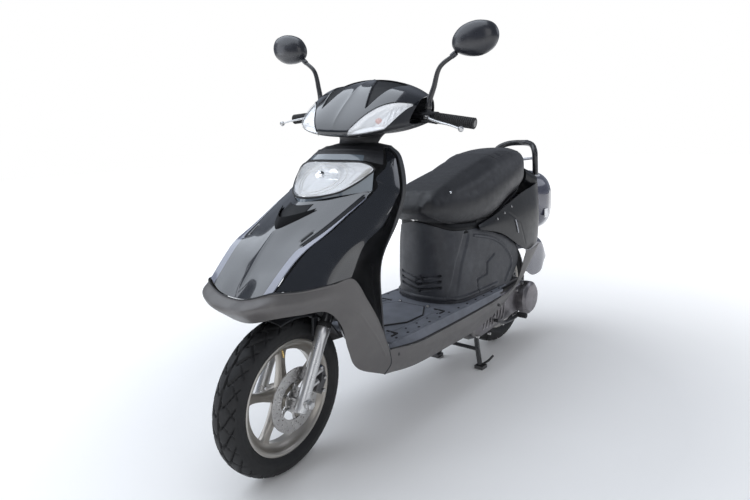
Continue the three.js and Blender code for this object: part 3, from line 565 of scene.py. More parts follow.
SKIRT = at([
    [(201, 257, 330), (198, 400, 306), (188, 560, 298), (182, 800, 298), (176, 985, 302), (170, 1130, 330),
     (166, 1225, 440)],
    [(200, 265, 285), (199, 400, 262), (190, 580, 258), (184, 800, 260), (178, 1000, 284), (172, 1165, 334),
     (166, 1290, 442)],
    [(183, 253, 250), (184, 400, 228), (176, 600, 220), (172, 800, 222), (170, 1010, 262), (168, 1190, 340),
     (163, 1350, 452)],
])
SHIELD = at(both_sides([
    [(0, 330, 345), (90, 322, 345), (160, 286, 345), (197, 240, 345)],
    [(0, 318, 440), (90, 310, 440), (160, 276, 440), (198, 232, 440)],
    [(0, 322, 590), (90, 310, 590), (165, 272, 590), (196, 236, 590)],
    [(0, 415, 700), (90, 410, 700), (165, 360, 700), (198, 300, 700)],
    [(0, 462, 790), (85, 455, 790), (155, 415, 790), (197, 345, 790)],
    [(0, 480, 880), (70, 470, 880), (130, 430, 880), (168, 366, 880)],
    [(0, 478, 914), (50, 466, 915), (92, 430, 915), (120, 380, 914)],
]))
BROW = at(both_sides([
    [(0, 266, 882), (60, 268, 882), (115, 278, 879), (162, 300, 868)],
    [(0, 282, 908), (55, 286, 907), (102, 300, 903), (140, 330, 896)],
    [(0, 292, 922), (45, 300, 921), (82, 322, 919), (112, 358, 915)],
]))
CAP = at(both_sides([
    [(0, 294, 921), (45, 302, 920), (82, 324, 918), (112, 360, 914)],
    [(0, 380, 930), (48, 380, 929), (88, 376, 922), (118, 368, 914)],
    [(0, 476, 914), (50, 464, 915), (92, 428, 915), (120, 380, 914)],
]))


def strip_on(rows, path, half_width, lift, thick, count=40):
    """Flat strip that follows a path given in the sheet's parameters."""
    t = steps(count)
    uv = smooth(np.asarray(path, float), t)
    line, normal = points_and_normals(rows, uv[:, 0], uv[:, 1])
    ahead = np.gradient(line, axis=0)
    side = np.cross(ahead, normal)
    side /= np.linalg.norm(side, axis=1, keepdims=True)
    width = (half_width * np.sqrt(np.clip(np.minimum(t, 1 - t) * 14, 0.05, 1)))[:, None]
    ring = []
    for s, h in ((-1, -thick), (-1, 0), (-0.8, thick * 0.3), (0.8, thick * 0.3), (1, 0), (1, -thick)):
        ring.append(line + side * width * s + normal * (lift + h))
    return grid_part(np.stack(ring, axis=1), wrap=True, caps=True)


SLOT_PATH = [(0.985, 0.965), (0.955, 0.80), (0.905, 0.56)]
DASH_PATH = [(0.868, 0.70), (0.848, 0.60)]


def mirror_path(path):
    return [(1 - u, v) for u, v in path]


def front_panels():
    u, v = steps(150), steps(130)
    hood = sheet(HOOD, u, v)
    ridge = 0.0022 * np.exp(-np.abs(hood[..., 0]) / 0.006)
    ridge = ridge * smoothstep(0.02, 0.2, v)[:, None] * (1 - smoothstep(0.62, 0.74, v))[:, None]
    hood = hood + normals(hood) * ridge[..., None]
    for path, width, depth in ((SLOT_PATH, 0.0058, 0.0035), (DASH_PATH, 0.0042, 0.002)):
        for route in (path, mirror_path(path)):
            uv = smooth(np.array(route), steps(12))
            hood = dented(hood, sheet_points(HOOD, uv[:, 0], uv[:, 1]), width, depth)
    # Painted reflection: outside the slot line on each side, the hood takes the pale blue-grey edge paint for the
    # bright reflection along its edges.
    edge_u = np.abs((np.arange(150) + 0.5) / 75 - 1)[None, :] / 2 + 0.5
    cell_v = ((np.arange(130) + 0.5) / 130)[:, None]
    slot_line = np.where(cell_v > 0.5, 0.917 + (cell_v - 0.56) * 0.1975, 0.90)
    panel("hood_panel", hood, "chassis", "gloss_black", [GLOSS, EDGE_REFLECTION_BAND], replaces="front_hood",
          paint=(edge_u > slot_line).astype(int))
    seam = [(130, -96, 581), (136, -46, 628), (143, 5, 664), (152, 94, 707), (163, 256, 793)]
    seams = [tube(at_side(seam, s), 0.0036, 10, 60) for s in (-1, 1)]
    make("hood_seam_backing", merge(*seams), "chassis", "matt_black", DEEP)
    surround = sheet(at(both_sides([
        [(0, 126, 771), (50, 150, 778), (95, 186, 786), (128, 215, 791), (161, 249, 796)],
        [(0, 134, 787), (50, 151, 790), (95, 187, 801), (128, 229, 825), (153, 269, 850)],
    ])), steps(60), steps(6))
    # Painted reflection: the surround takes the pale blue-grey visor colour so that it looks like the glossy black
    # hood where that reflects the overhead light.
    panel("lamp_surround_painted_reflection", surround, "chassis", "gloss_black", VISOR, wall=0.002)
    inserts = []
    for path, width, lift in ((SLOT_PATH, 0.0058, -0.0016), (DASH_PATH, 0.0042, -0.0008)):
        for route in (path, mirror_path(path)):
            inserts.append(strip_on(HOOD, route, width, lift, 0.0008))
    make("hood_slot_inserts", merge(*inserts), "chassis", "matt_black", DEEP)
    side = sheet(SIDE_PANEL, steps(70), steps(150))
    crease = at([(196, 236, 590), (190, 190, 640), (186, 215, 690), (193, 300, 745)])
    side = dented(side, crease, 0.003, 0.0012)
    for sign, tag in SIDES:
        panel(f"nose_side_{tag}", side * (sign, 1, 1), "chassis", "gloss_black", GLOSS, flip=sign < 0,
              replaces=f"front_side_panel_{tag}")


def scoop():
    """Two-armed blade under the headlight, with a deep black sheet behind it as painted shade in its mouth."""
    s = np.linspace(-1, 1, 61)
    w = steps(14)
    centre = 0.5 + 0.205 * s
    top = 0.775 + 0.115 * np.abs(s) ** 1.25
    grid = np.zeros((len(w), len(s), 3))
    for j, f in enumerate(w):
        v = top - 0.085 * (1 - 0.72 * np.abs(s) ** 1.5) * (1 - f)
        base, n = points_and_normals(HOOD, centre, v)
        height = 0.0006 + 0.015 * (1 - 0.75 * np.abs(s)) * f**0.8
        grid[j] = base + n * height[:, None]
    panel("scoop_blade", grid, "chassis", "gloss_black", DEEP, wall=0.0022)
    # Painted shade: a deep black sheet laid on the hood where the opening behind the blade lies in shade.
    mouth = sheet(HOOD, np.linspace(0.36, 0.64, 40), np.linspace(0.79, 0.955, 20))
    fade = np.sin(np.linspace(0, math.pi, 40))[None, :, None]
    mouth = mouth + normals(mouth) * (0.0004 + 0.0014 * fade)
    make("scoop_mouth_painted_shade", grid_part(mouth), "chassis", "matt_black", DEEP, wall=0.001)


def headlight():
    u, v = steps(120), steps(44)
    lens = sheet(LENS, u, v)
    dome = np.sin(math.pi * u)[None, :] ** 0.6 * np.sin(math.pi * v)[:, None] ** 0.6
    lens = lens + normals(lens) * (0.006 * dome)[..., None]
    panel("headlight_glass", lens, "chassis", "clear_lens", CLEAR, wall=0.0022, replaces="headlight_lens")
    inner = sheet(LENS, u * 0.96 + 0.02, v * 0.9 + 0.05)
    across = np.abs(2 * u - 1)[None, :]
    up = np.abs(2 * v - 1)[:, None]
    depth = 0.004 + 0.066 * (1 - across**2.6) * (1 - up**2.2)
    rib = np.maximum(smoothstep(0.62, 0.72, across) * (1 - up), 0)
    flutes = 0.0032 * rib * np.abs(np.sin((across * 42 + np.asarray(v)[:, None] * 5)))
    reflector = inner + np.array((0, 1, 0)) * (depth - flutes)[..., None]
    x = reflector[..., 0]
    z = reflector[..., 2]
    ring = np.hypot(x, (z - 0.838) * 1.25)
    reflector[..., 1] -= 0.007 * np.exp(-(((ring - 0.066) / 0.0028) ** 2))
    panel("headlight_bowl", reflector, "chassis", "chrome", DULL, wall=0.0012, replaces="headlight_reflector")
    edge_line = np.concatenate([lens[0], lens[1:, -1], lens[-1, -2::-1], lens[-2:0:-1, 0], lens[:1, 0]])
    make("headlight_gasket", tube(edge_line[::2], 0.0026, 8, 260), "chassis", "rubber", RUBBER)
    lines = []
    for side in (-1, 1):
        for k in range(8):
            across = 0.5 + side * np.linspace(0.30 + 0.012 * k, 0.455, 14)
            line = sheet_points(LENS, across, np.full(14, 0.22 + 0.085 * k) + np.linspace(-0.05, 0.05, 14))
            lines.append(tube(line - (0, 0.0005, 0), 0.0011, 6, 20))
    turn = np.linspace(0, 2 * math.pi, 61)
    for wide, high in ((0.215, 0.44), (0.17, 0.34)):
        loop = sheet_points(LENS, 0.5 + wide * np.cos(turn), 0.5 + high * np.sin(turn))
        lines.append(tube(loop + (0, 0.0035, 0), 0.0013, 6, 120))
    make("headlight_flutes", merge(*lines), "chassis", "chrome", RIM)
    centre, along = at([0, 232, 838]), (0, 1, -0.12)
    bulb = turned([(-0.03, 0), (-0.029, 0.006), (-0.022, 0.0095), (0.004, 0.0105), (0.02, 0.008), (0.034, 0.012),
                   (0.05, 0.012), (0.05, 0)], centre, along, 32)
    make("headlight_bulb", bulb, "chassis", "clear_lens", BULB)
    hood_cap = turned([(-0.036, 0), (-0.036, 0.008), (-0.031, 0.0125), (-0.019, 0.0125), (-0.019, 0.0108),
                       (-0.03, 0.0108), (-0.034, 0.0)], centre, along, 32)
    collar = turned([(0.03, 0.013), (0.03, 0.022), (0.035, 0.022), (0.035, 0.013)], centre, along, 40)
    arm = [(0.0118, -0.02), (0.016, 0.006), (0.0175, 0.032)]
    arms = [tube([centre + (s * x, y, 0) for x, y in arm], 0.0012, 8) for s in (-1, 1)]
    make("bulb_shield", merge(hood_cap, collar, *arms), "chassis", "chrome", CHROME)


def upper_shield():
    brow = sheet(BROW, steps(90), steps(24))
    lip = 0.0022 * np.exp(-((steps(24) - 0.62) / 0.05) ** 2)[:, None]
    brow = brow + normals(brow) * lip[..., None]
    across = np.abs(steps(90)[:-1] * 2 - 1 + 1 / 90)
    row = (np.arange(24) + 0.5) / 24
    painted = (row[:, None] > 0.30) | (across[None, :] > 0.62)
    panel("visor_strip", brow, "chassis", "gloss_black", [VISOR, MATT], replaces="shield_brow",
          paint=painted.astype(int))
    cap = sheet(CAP, steps(60), steps(30))
    panel("shield_cap", cap, "chassis", "matt_black", MATT)
    shield = sheet(SHIELD, steps(120), steps(120))
    for x in (-1, 1):
        rib = at([(x * 120, 304, 380), (x * 118, 298, 560), (x * 96, 398, 690), (x * 82, 456, 800)])
        shield = dented(shield, rib, 0.006, 0.004)
    box = at([(-62, 352, 640), (-60, 440, 760), (60, 440, 760), (62, 352, 640), (-62, 352, 640)])
    shield = dented(shield, box, 0.003, 0.0025)
    panel("inner_leg_shield", shield, "chassis", "matt_black", MATT, flip=True, replaces="leg_shield")
    hook = tube(at([(0, 448, 752), (0, 474, 744), (0, 492, 748), (0, 500, 764), (0, 496, 776)]),
                [0.006, 0.005, 0.005, 0.0045, 0.004])
    plate = turned([(0, 0), (0, 0.016), (0.005, 0.014), (0.006, 0)], at([0, 442, 752]), (0, 1, -0.45), 32)
    make("bag_hook", merge(hook, plate), "chassis", "matt_black", MATT)
    lock = turned([(-0.002, 0), (-0.002, 0.019), (0.006, 0.018), (0.008, 0.013), (0.006, 0.011), (0.006, 0)],
                  at([66, 463, 838]), (0.1, 1, 0.05), 40)
    key = block((0.0022, 0.006, 0.011), at([66, 471, 838]))
    make("ignition_lock", merge(lock, key), "chassis", "bare_metal", STEEL)


def lower_panels():
    u, v = steps(260), steps(40)
    cowl = sheet(COWL, u, v)
    facet = [(196, 60, 528), (199, 140, 470), (201, 196, 390), (200, 236, 320)]
    for s in (-1, 1):
        cowl = dented(cowl, at_side(facet, s), 0.003, 0.0012)
    lip = 0.0016 * (1 - smoothstep(0.0, 0.05, v))[:, None]
    cowl = cowl - normals(cowl) * lip[..., None]
    panel("beak_cowl", cowl, "chassis", "satin_grey", SATIN, flip=True, replaces="lower_cowl")
    skirt = sheet(SKIRT, steps(220), steps(26))
    line = at([(200, 330, 300), (192, 560, 270), (184, 800, 268), (176, 1000, 286), (171, 1160, 330)])
    skirt = dented(skirt, line, 0.002, 0.0010)
    for sign, tag in SIDES:
        panel(f"skirt_{tag}", skirt * (sign, 1, 1), "chassis", "satin_grey", SATIN, flip=sign > 0,
              replaces=f"side_skirt_{tag}")
    places = ((300, 302), (930, 288), (1120, 330))
    screws = [dome_screw(at([s * 199, y, z]), (s, 0, 0), 0.0062) for s in (-1, 1) for y, z in places]
    make("skirt_screws", merge(*screws), "chassis", "black_steel", STEEL_BLACK)
    seam = [(199.4, 255.5, 331), (197.8, 263.5, 286), (181.5, 251.5, 250)]
    seams = [tube(at_side(seam, s), 0.0026, 8) for s in (-1, 1)]
    make("skirt_seams", merge(*seams), "chassis", "matt_black", MATT)
    trim = both_sides([[(0, -130, 552.5), (64, -132, 561), (130, -113, 581.5), (164, -44, 577), (186, 48, 578)]])[0]
    make("beak_seam", tube(at(trim), 0.0016, 8, 120), "chassis", "matt_black", MATT)


def foot_deck():
    dress("floorboard", DECK)
    outline = at([(-104, 560, 0), (-56, 636, 0), (56, 636, 0), (104, 560, 0),
                  (104, 470, 0), (60, 400, 0), (-60, 400, 0), (-104, 470, 0)])
    centre = outline.mean(axis=0)
    levels = ((1.0, 0.3318), (1.0, 0.3345), (0.975, 0.3368), (0.2, 0.3376))
    rings = [centre + (outline - centre) * s + (0, 0, z) for s, z in levels]
    make("deck_pad", loft(rings), "chassis", "rubber", DECK, sharp=20)
    edges = zip(outline, np.roll(outline, -1, axis=0))
    border = [a + (b - a) * steps(12)[:-1, None] for a, b in edges]
    border = np.concatenate(border + [outline[:1]]) + (0, 0, 0.3345)
    borders = [tube(border, 0.0024, 8, 200)]
    lip = [(199, 262, 330), (196, 400, 310), (186, 560, 302), (180, 800, 302), (175, 985, 305)]
    for s in (-1, 1):
        borders.append(tube(at_side(lip, s), 0.0026, 8, 90))
    make("deck_pad_border", merge(*borders), "chassis", "rubber", RUBBER)
    margin = at([
        [(176, 262, 331.5), (176, 400, 331.5), (176, 560, 331.5), (175, 800, 331.5), (172, 985, 331.5)],
        [(200, 258, 329), (197, 400, 308), (187, 560, 300), (181, 800, 300), (175.5, 985, 304)],
    ])
    for sign, tag in SIDES:
        edge = sheet(margin, steps(80), steps(6)) * (sign, 1, 1)
        panel(f"deck_margin_{tag}", edge, "chassis", "rubber", DECK, wall=0.002, flip=sign > 0)
    large = [(-0.002, 0), (-0.002, 0.0055), (0.0008, 0.005), (0.0022, 0.0028), (0.0024, 0)]
    small = [(-0.002, 0), (-0.002, 0.0045), (0.0008, 0.004), (0.0020, 0.002), (0.0022, 0)]
    studs = []
    for s in (-1, 1):
        for y in np.linspace(340, 1000, 12):
            studs.append(turned(large, at([s * 160, y, 332]), (0, 0, 1), 14))
            if y < 640:
                studs.append(turned(small, at([s * 132, y + 26, 332]), (0, 0, 1), 12))
        for y in (372, 640):
            studs.append(block((0.044, 0.006, 0.004), at([s * 118, y, 333]), 0.4))
            studs.append(block((0.006, 0.030, 0.004), at([s * 140, y - 16, 333]), 0.4))
    make("deck_studs", merge(*studs), "chassis", "rubber", RUBBER)
    half = [
        [(0, 668, 332), (80, 668, 332), (159, 670, 332), (160, 800, 332), (160, 940, 332), (160, 1062, 332)],
        [(0, 684, 334), (98, 707, 334), (141, 764, 334), (148, 850, 334), (151, 940, 334), (151, 1062, 334)],
    ]
    collar = sheet(at(both_sides(half)), steps(160), steps(4))
    panel("column_collar", collar, "chassis", "rubber", DECK, wall=0.002)
    ribs = []
    for s in (-1, 1):
        near = smooth(at_side([(112, 330, 332), (118, 500, 332), (116, 640, 332)], s), steps(24))
        ribs.append(tube(near, 0.0024, 8, 40))
    ribs.append(tube(at([(-60, 372, 332), (0, 372, 332), (60, 372, 332)]), 0.0022, 8))
    for s in (-1, 1):
        ribs.append(tube(at_side([(168, 300, 331), (168, 640, 331), (166, 1000, 331)], s), 0.003, 8, 30))
    make("deck_ribs", merge(*ribs), "chassis", "rubber", DECK)
    screws = [dome_screw(at([s * 62, y, 334]), (0, 0, 1), 0.006) for s in (-1, 1) for y in (352, 650)]
    make("deck_screws", merge(*screws), "chassis", "bare_metal", STEEL)


# ---- rear panels ------------------------------------------------------------------------------
COLUMN_HALF = [
    [(150, 1105, 324), (151, 900, 334), (142, 764, 334), (100, 706, 334), (0, 682, 334)],
    [(148, 1182, 420), (142, 940, 430), (130, 756, 430), (88, 700, 430), (0, 678, 430)],
    [(143, 1112, 512), (134, 910, 530), (120, 746, 545), (80, 694, 545), (0, 672, 545)],
    [(126, 880, 588), (124, 810, 592), (110, 736, 600), (74, 690, 618), (0, 666, 634)],
]
COLUMN = at([row + [(-x, y, z) for x, y, z in reversed(row[:-1])] for row in COLUMN_HALF])
SIDE_COVER = at([
    [(134, 884, 600), (140, 1000, 624), (142, 1110, 656), (140, 1220, 684), (130, 1330, 697), (116, 1424, 706)],
    [(138, 884, 592), (148, 1020, 588), (155, 1150, 575), (156, 1260, 572), (146, 1370, 580), (118, 1436, 600)],
    [(140, 884, 583), (150, 1034, 546), (158, 1165, 478), (158, 1250, 442), (146, 1360, 452), (118, 1440, 478)],
])


LOUVRES = (392, 414, 436)


def seat_column():
    u, v = steps(300), steps(120)
    grid = sheet(COLUMN, u, v)
    for z in LOUVRES:
        for s in (-1, 1):
            path = at([(0, 680, z - 14), (s * 40, 687, z - 6), (s * 84, 700, z + 2)])
            near = distance_to(grid, path)
            fade = (1 - smoothstep(0.0026, 0.0062, near)) * (np.abs(grid[..., 0]) < 0.09)
            grid = grid - outward(grid) * (fade * 0.010)[..., None]
    for s in (-1, 1):
        band = at_side([(130, 812, 575), (127, 758, 480), (118, 726, 370), (112, 716, 338)], s)
        grid = raised(grid, band, 0.017, -0.004)
        arch = [(130, 860, 565), (137, 980, 535), (142, 1080, 480), (146, 1125, 410), (150, 1070, 346)]
        grid = raised(grid, smooth(at_side(arch, s), steps(24)), 0.005, 0.004)
        step = [(146, 860, 350), (142, 862, 400), (142, 930, 404), (142, 940, 450), (140, 990, 470)]
        grid = raised(grid, at_side(step, s), 0.004, -0.004)
    lip = [(150, 1000, 352), (150, 860, 352), (142, 763, 352), (99, 705, 352), (0, 681, 352)]
    lip += [(-x, y, z) for x, y, z in reversed(lip[:-1])]
    grid = raised(grid, smooth(at(lip), steps(60)), 0.006, 0.005)
    panel("seat_column", grid, "chassis", "moulded_grey", MOULDED, flip=not facing_out(grid),
          replaces="under_seat_cover")
    slats = []
    for z in LOUVRES:
        for s in (-1, 1):
            slat = smooth(at_side([(4, 684, z - 16), (40, 690, z - 8), (80, 702, z)], s), steps(10))
            slats.append(tube(slat + (0, 0.002, 0), 0.0022, 8))
    make("louvre_gaps", merge(*slats), "chassis", "matt_black", MATT)
    barrel = turned([(0, 0), (0, 0.008), (0.004, 0.007), (0.005, 0)], at([10, 650, 648]), (0, -1, 0), 20)
    rim = sheet(COLUMN, u, [1.0])[0]
    inset = rim * (0.965, 1, 1) + (0, 0.005, 0)
    gasket = np.stack([inset + (0, 0, z) for z in (-0.012, 0.006, 0.024)])
    make("seat_gasket", grid_part(gasket), "chassis", "matt_black", DEEP, wall=0.003)
    # Painted shade: deep black sheets inside the side covers, where a band of shadow falls under the seat between the
    # covers and the column.
    backing = sheet(at([
        [(126, 880, 618), (131, 1000, 612), (134, 1100, 590), (134, 1200, 560)],
        [(122, 880, 540), (126, 1000, 500), (129, 1100, 450), (130, 1200, 430)],
    ]), steps(40), steps(20))
    for sign, tag in SIDES:
        panel(f"cover_shade_backing_{tag}", backing * (sign, 1, 1), "chassis", "matt_black", DEEP, flip=sign > 0)
    latch = merge(block((0.03, 0.026, 0.010), at([10, 662, 648])), barrel)
    make("seat_latch", latch, "chassis", "bare_metal", STEEL)


def outward(grid):
    """Normals that point away from the middle of the grid."""
    n = normals(grid)
    return n if facing_out(grid) else -n


def facing_out(grid):
    """Whether the grid's normals point away from the middle of the column."""
    n = normals(grid)
    middle = grid.reshape(-1, 3).mean(axis=0)
    return float((n * (grid - middle)).sum()) > 0


def raised(grid, path, half_width, height):
    """The grid with a soft ridge of that height along a path; a negative height sinks a groove."""
    fade = 1 - smoothstep(half_width * 0.7, half_width * 1.3, distance_to(grid, path))
    return grid + outward(grid) * (fade * height)[..., None]


def rear_panels():
    cover = sheet(SIDE_COVER, steps(110), steps(60))
    groove = at([(150, 1100, 618), (157, 1180, 570), (160, 1230, 470)])
    cover = dented(cover, groove, 0.0025, -0.0015)
    for sign, tag in SIDES:
        panel(f"side_cover_{tag}_shell", cover * (sign, 1, 1), "chassis", "gloss_black", SIDE_GLOSS, flip=sign > 0,
              replaces=f"side_cover_{tag}")
    places = ((1010, 606), (1066, 622), (1124, 640))
    screws = [dome_screw(at([s * 145.5, y, z]), (s, 0, 0.3), 0.0045) for s in (-1, 1) for y, z in places]
    make("cover_screws", merge(*screws), "chassis", "bare_metal", STEEL)
    flash = [(156, 1140, 585), (158.5, 1150, 560), (160, 1160, 530)]
    flashes = [tube(at_side(flash, s), 0.0022, 8) for s in (-1, 1)]
    make("cover_flashes", merge(*flashes), "chassis", "chrome", LIGHT_GREY)
    tail_body()


def tail_body():
    lofts = (
        ("tail_fairing", "gloss_black", SIDE_GLOSS, None, 3,
         [(1352.5, 95.5, 703, 787), (1405, 107.5, 653, 769), (1434, 109.5, 651, 755)]),
        ("tail_shell", "gloss_black", PURPLE, "tail_cover", 2.6,
         [(1440, 109.5, 521, 743), (1520, 124, 480, 750), (1576, 116, 470, 740)]),
        ("tail_lamp", "tail_lens", TAIL, "tail_light", 2.3,
         [(1576.5, 114, 474, 736), (1606, 92, 520, 712), (1620, 50, 560, 680)]),
    )
    for name, slot, finish, node, power, stations in lofts:
        rings = at([section(y, half, low, high, power) for y, half, low, high in smooth(stations, steps(30))])
        make(name, loft(rings), "chassis", slot, finish, replaces=node, sharp=50)
    plates = [block((0.004, 0.030, 0.040), at([s * 122, 1508, 560]), 0.3) for s in (-1, 1)]
    make("side_reflectors", merge(*plates), "chassis", "clear_lens", WHITE)
    half = [
        [(76, 1415, 300), (78, 1480, 268), (80, 1560, 272), (76, 1606, 312)],
        [(80, 1400, 400), (84, 1470, 372), (86, 1560, 352), (80, 1612, 336)],
        [(68, 1395, 476), (74, 1480, 452), (76, 1565, 416), (66, 1616, 352)],
    ]
    ridge = [(0, 1400, 500), (0, 1495, 472), (0, 1580, 436), (0, 1618, 362)]
    other = [[(-x, y, z) for x, y, z in row] for row in reversed(half)]
    guard = sheet(at(half + [ridge] + other), steps(60), steps(80))
    panel("rear_guard", guard, "chassis", "gloss_black", PURPLE, replaces="rear_mudguard")
    route = [(88, 1462, 730), (97, 1436, 796), (92, 1436, 846), (58, 1468, 871), (0, 1488, 876)]
    rail = tube(at(route + [(-x, y, z) for x, y, z in reversed(route[:-1])]), 0.0124, 24, 90)
    pad = block((0.060, 0.034, 0.0115), at([0, 1492, 882]), 0.3)
    make("grab_loop", merge(rail, pad), "chassis", "black_steel", STEEL_BLACK, replaces="grab_rail")
    foot = [(0, 0), (0, 0.02), (0.007, 0.018), (0.009, 0.0125), (0.018, 0.0115), (0.018, 0)]
    feet = [turned(foot, at([s * 88, 1462, 730]), (0, 0, 1), 28) for s in (-1, 1)]
    bridge = tube(at([(-95, 1436, 812), (-40, 1427, 806), (0, 1425, 804), (40, 1427, 806), (95, 1436, 812)]), 0.010,
                  20, 40, flat=0.6)
    make("rail_bridge", merge(bridge, *feet), "chassis", "bare_metal", LIGHT_GREY)
    dress("luggage_box", MATT)
    dress("fuel_tank", STEEL_BLACK)
    refined("main_frame", STEEL_BLACK, 0.001)


# ---- seat ---------------------------------------------------------------------------------------
SEAM_PLACE = 0.66  # share of the half width where the top seams run
SEAT = [  # y, half width, bottom, top
    (596, 70, 662, 702), (640, 108, 630, 738), (740, 132, 594, 769), (880, 142, 574, 803), (985, 146, 580, 832),
    (1040, 146, 594, 849), (1150, 142, 640, 861), (1240, 134, 664, 865), (1310, 114, 682, 862), (1346, 80, 704, 848),
]
FOAM_LIFT = 18  # the foam stands this far above the lower edge, on the seat's base
PUFF = 0.006  # the furthest that the cover swells, in metres


def seat_station(place):
    """The seat's y, half width, bottom and top at one place along it."""
    return smooth(SEAT, np.interp(place, [s[0] for s in SEAT], np.linspace(0, 1, len(SEAT))))[0]


def seat_surface(y_values, shrink):
    rings = []
    angle = 2 * math.pi * (np.arange(96) + 0.5) / 96
    c, s = np.cos(angle), np.sin(angle)
    for value in y_values:
        _, half, low, high = seat_station(value)
        z = (high + low + FOAM_LIFT) / 2 + (high - low - FOAM_LIFT) / 2 * rounded(s, 3.6)
        x = (half - shrink) * rounded(c, 4.0) * (1 - 0.13 * np.clip(s, 0, 1) ** 2)
        rings.append(np.stack([x, np.full(96, value), z - shrink * np.clip(s, 0, 1)], axis=1))
    return at(rings)


def seat():
    ends = (604, 1342)
    values = ends[0] + (ends[1] - ends[0]) * (0.5 - 0.5 * np.cos(math.pi * steps(90)))
    rings = seat_surface(values, 5.0)
    cushion = make("seat_cushion_cover", loft(rings), "seat", "vinyl", VINYL, replaces="seat_cushion", sharp=80)
    cushion.parent = None
    remesh = cushion.modifiers.new("remesh", "REMESH")
    remesh.mode = "VOXEL"
    remesh.voxel_size = 0.0058
    apply_modifiers(cushion)
    swell(cushion)
    relax = cushion.modifiers.new("relax", "SMOOTH")
    relax.factor = 0.5
    relax.iterations = 6
    finer = cushion.modifiers.new("finer", "SUBSURF")
    finer.levels = finer.render_levels = 1
    apply_modifiers(cushion)
    cushion.data.shade_smooth()
    tree = surface_of(cushion)
    seams = []
    for s in (-1, 1):
        stations = map(seat_station, np.linspace(620, 1335, 50))
        starts = [(s * 400, y, low + FOAM_LIFT + 14) for y, _, low, _ in stations]
        seams.append(seam_on(tree, starts, (-s, 0, 0), 0.0024, 150))
    for s in (-1, 1):
        stations = map(seat_station, np.linspace(1050, 1310, 30))
        starts = [(s * half * SEAM_PLACE, y, 1200) for y, half, _, _ in stations]
        seams.append(seam_on(tree, starts, (0, 0, -1), 0.0019, 90, 0.0006))
    across = [(x * 146, 1048 + 50 * x**2, 1200) for x in np.linspace(-SEAM_PLACE, SEAM_PLACE, 30)]
    seams.append(seam_on(tree, across, (0, 0, -1), 0.0019, 60, 0.0006))
    make("seat_seams", merge(*seams), "seat", "vinyl", VINYL)
    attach(cushion, "seat")
    stud = [(-0.002, 0), (-0.002, 0.0048), (0.001, 0.0046), (0.0026, 0.0026), (0.003, 0)]
    places = [(s, cast(tree, at([s * 400, 735, 737]), (-s, 0, 0))) for s in (1, -1)]
    studs = [turned(stud, p, (s, 0, 0), 20) for s, p in places if p is not None]
    make("seat_studs", merge(*studs), "seat", "chrome", CHROME)
    refined("seat_base", MATT, 0.002)


def seam_on(tree, starts, direction, radius, count, sink=0.0):
    """Cord along the places where lines from the starts meet the cover."""
    line = [cast(tree, at(start), direction) for start in starts]
    return tube(np.array([p for p in line if p is not None]) - (0, 0, sink), radius, 8, count)


def apply_modifiers(obj):
    """The object's mesh with its modifiers worked in."""
    graph = bpy.context.evaluated_depsgraph_get()
    mesh = bpy.data.meshes.new_from_object(obj.evaluated_get(graph))
    obj.modifiers.clear()
    obj.data = mesh


def swell(obj):
    """Cloth under pressure rounds the foam; the underside stays where the base holds it."""
    rest = np.array([v.co for v in obj.data.vertices])
    floor_z = np.interp(rest[:, 1], [s[0] / 1000 + AXLE_Y for s in SEAT], [(s[2] + FOAM_LIFT) / 1000 for s in SEAT])
    held = obj.vertex_groups.new(name="held")
    for index in np.nonzero(rest[:, 2] < floor_z + 0.012)[0]:
        held.add([int(index)], 1.0, "REPLACE")
    cloth = obj.modifiers.new("cloth", "CLOTH")
    settings = cloth.settings
    settings.quality = 4
    settings.use_pressure = True
    settings.uniform_pressure_force = 4
    settings.effector_weights.gravity = 0
    settings.vertex_group_mass = "held"
    settings.tension_stiffness = settings.compression_stiffness = 12
    cloth.point_cache.frame_start, cloth.point_cache.frame_end = 1, 20
    for number in range(1, 21):
        scene.frame_set(number)
    graph = bpy.context.evaluated_depsgraph_get()
    moved = np.array([v.co for v in obj.evaluated_get(graph).to_mesh().vertices])
    obj.modifiers.remove(cloth)
    scene.frame_set(1)
    shift = moved - rest
    length = np.linalg.norm(shift, axis=1, keepdims=True)
    shift *= np.minimum(1, PUFF / np.maximum(length, 1e-9))
    obj.data.vertices.foreach_set("co", (rest + shift).astype(np.float32).ravel())
    obj.data.update()
    obj.vertex_groups.clear()


def surface_of(obj):
    return BVHTree.FromPolygons([v.co for v in obj.data.vertices], [tuple(p.vertices) for p in obj.data.polygons])


def cast(tree, origin, direction):
    hit = tree.ray_cast(Vector(origin), Vector(direction))[0]
    return None if hit is None else np.array(hit)


# ---- steering -------------------------------------------------------------------------------------
BAR_CENTRE = (470, 1022)
FRONT_OUTLINE = [(400, 954), (320, 947), (252, 953), (255, 985), (312, 1042), (388, 1096), (470, 1118)]
REAR_OUTLINE = [(473, 1118), (512, 1112), (548, 1084), (556, 1030), (530, 975), (470, 953), (403, 953)]
COVER_HALF = 192


def cover_grid(outline, x, t):
    """Points of the bar cover; x and t are grids of the place across and round the outline."""
    flat = smooth(outline, t.ravel()).reshape(*t.shape, 2)
    w = np.abs(x) / 200
    y = BAR_CENTRE[0] + (flat[..., 0] - BAR_CENTRE[0]) * (1 - 0.62 * w**4)
    z = BAR_CENTRE[1] + (flat[..., 1] - BAR_CENTRE[1]) * (1 - 0.565 * w**2.3)
    return at(np.stack([x, y, z], axis=-1))


def lamp_low(x):
    """Where on the front outline the turn lamp's lower edge is, at x."""
    return 0.335 + 0.375 * smoothstep(146, 190, np.abs(x))


def lamp_high(x):
    """The same for the lamp's upper edge, which meets the lower one beyond the lamp's ends."""
    x = np.abs(x)
    low = lamp_low(x)
    rise = np.clip((x - 52) / 128, 0, 1)
    arch = 0.355 + 0.375 * np.sin(math.pi / 2 * rise**0.75) - low
    return low + arch * smoothstep(52, 58, x) * (1 - smoothstep(183, 187, x))


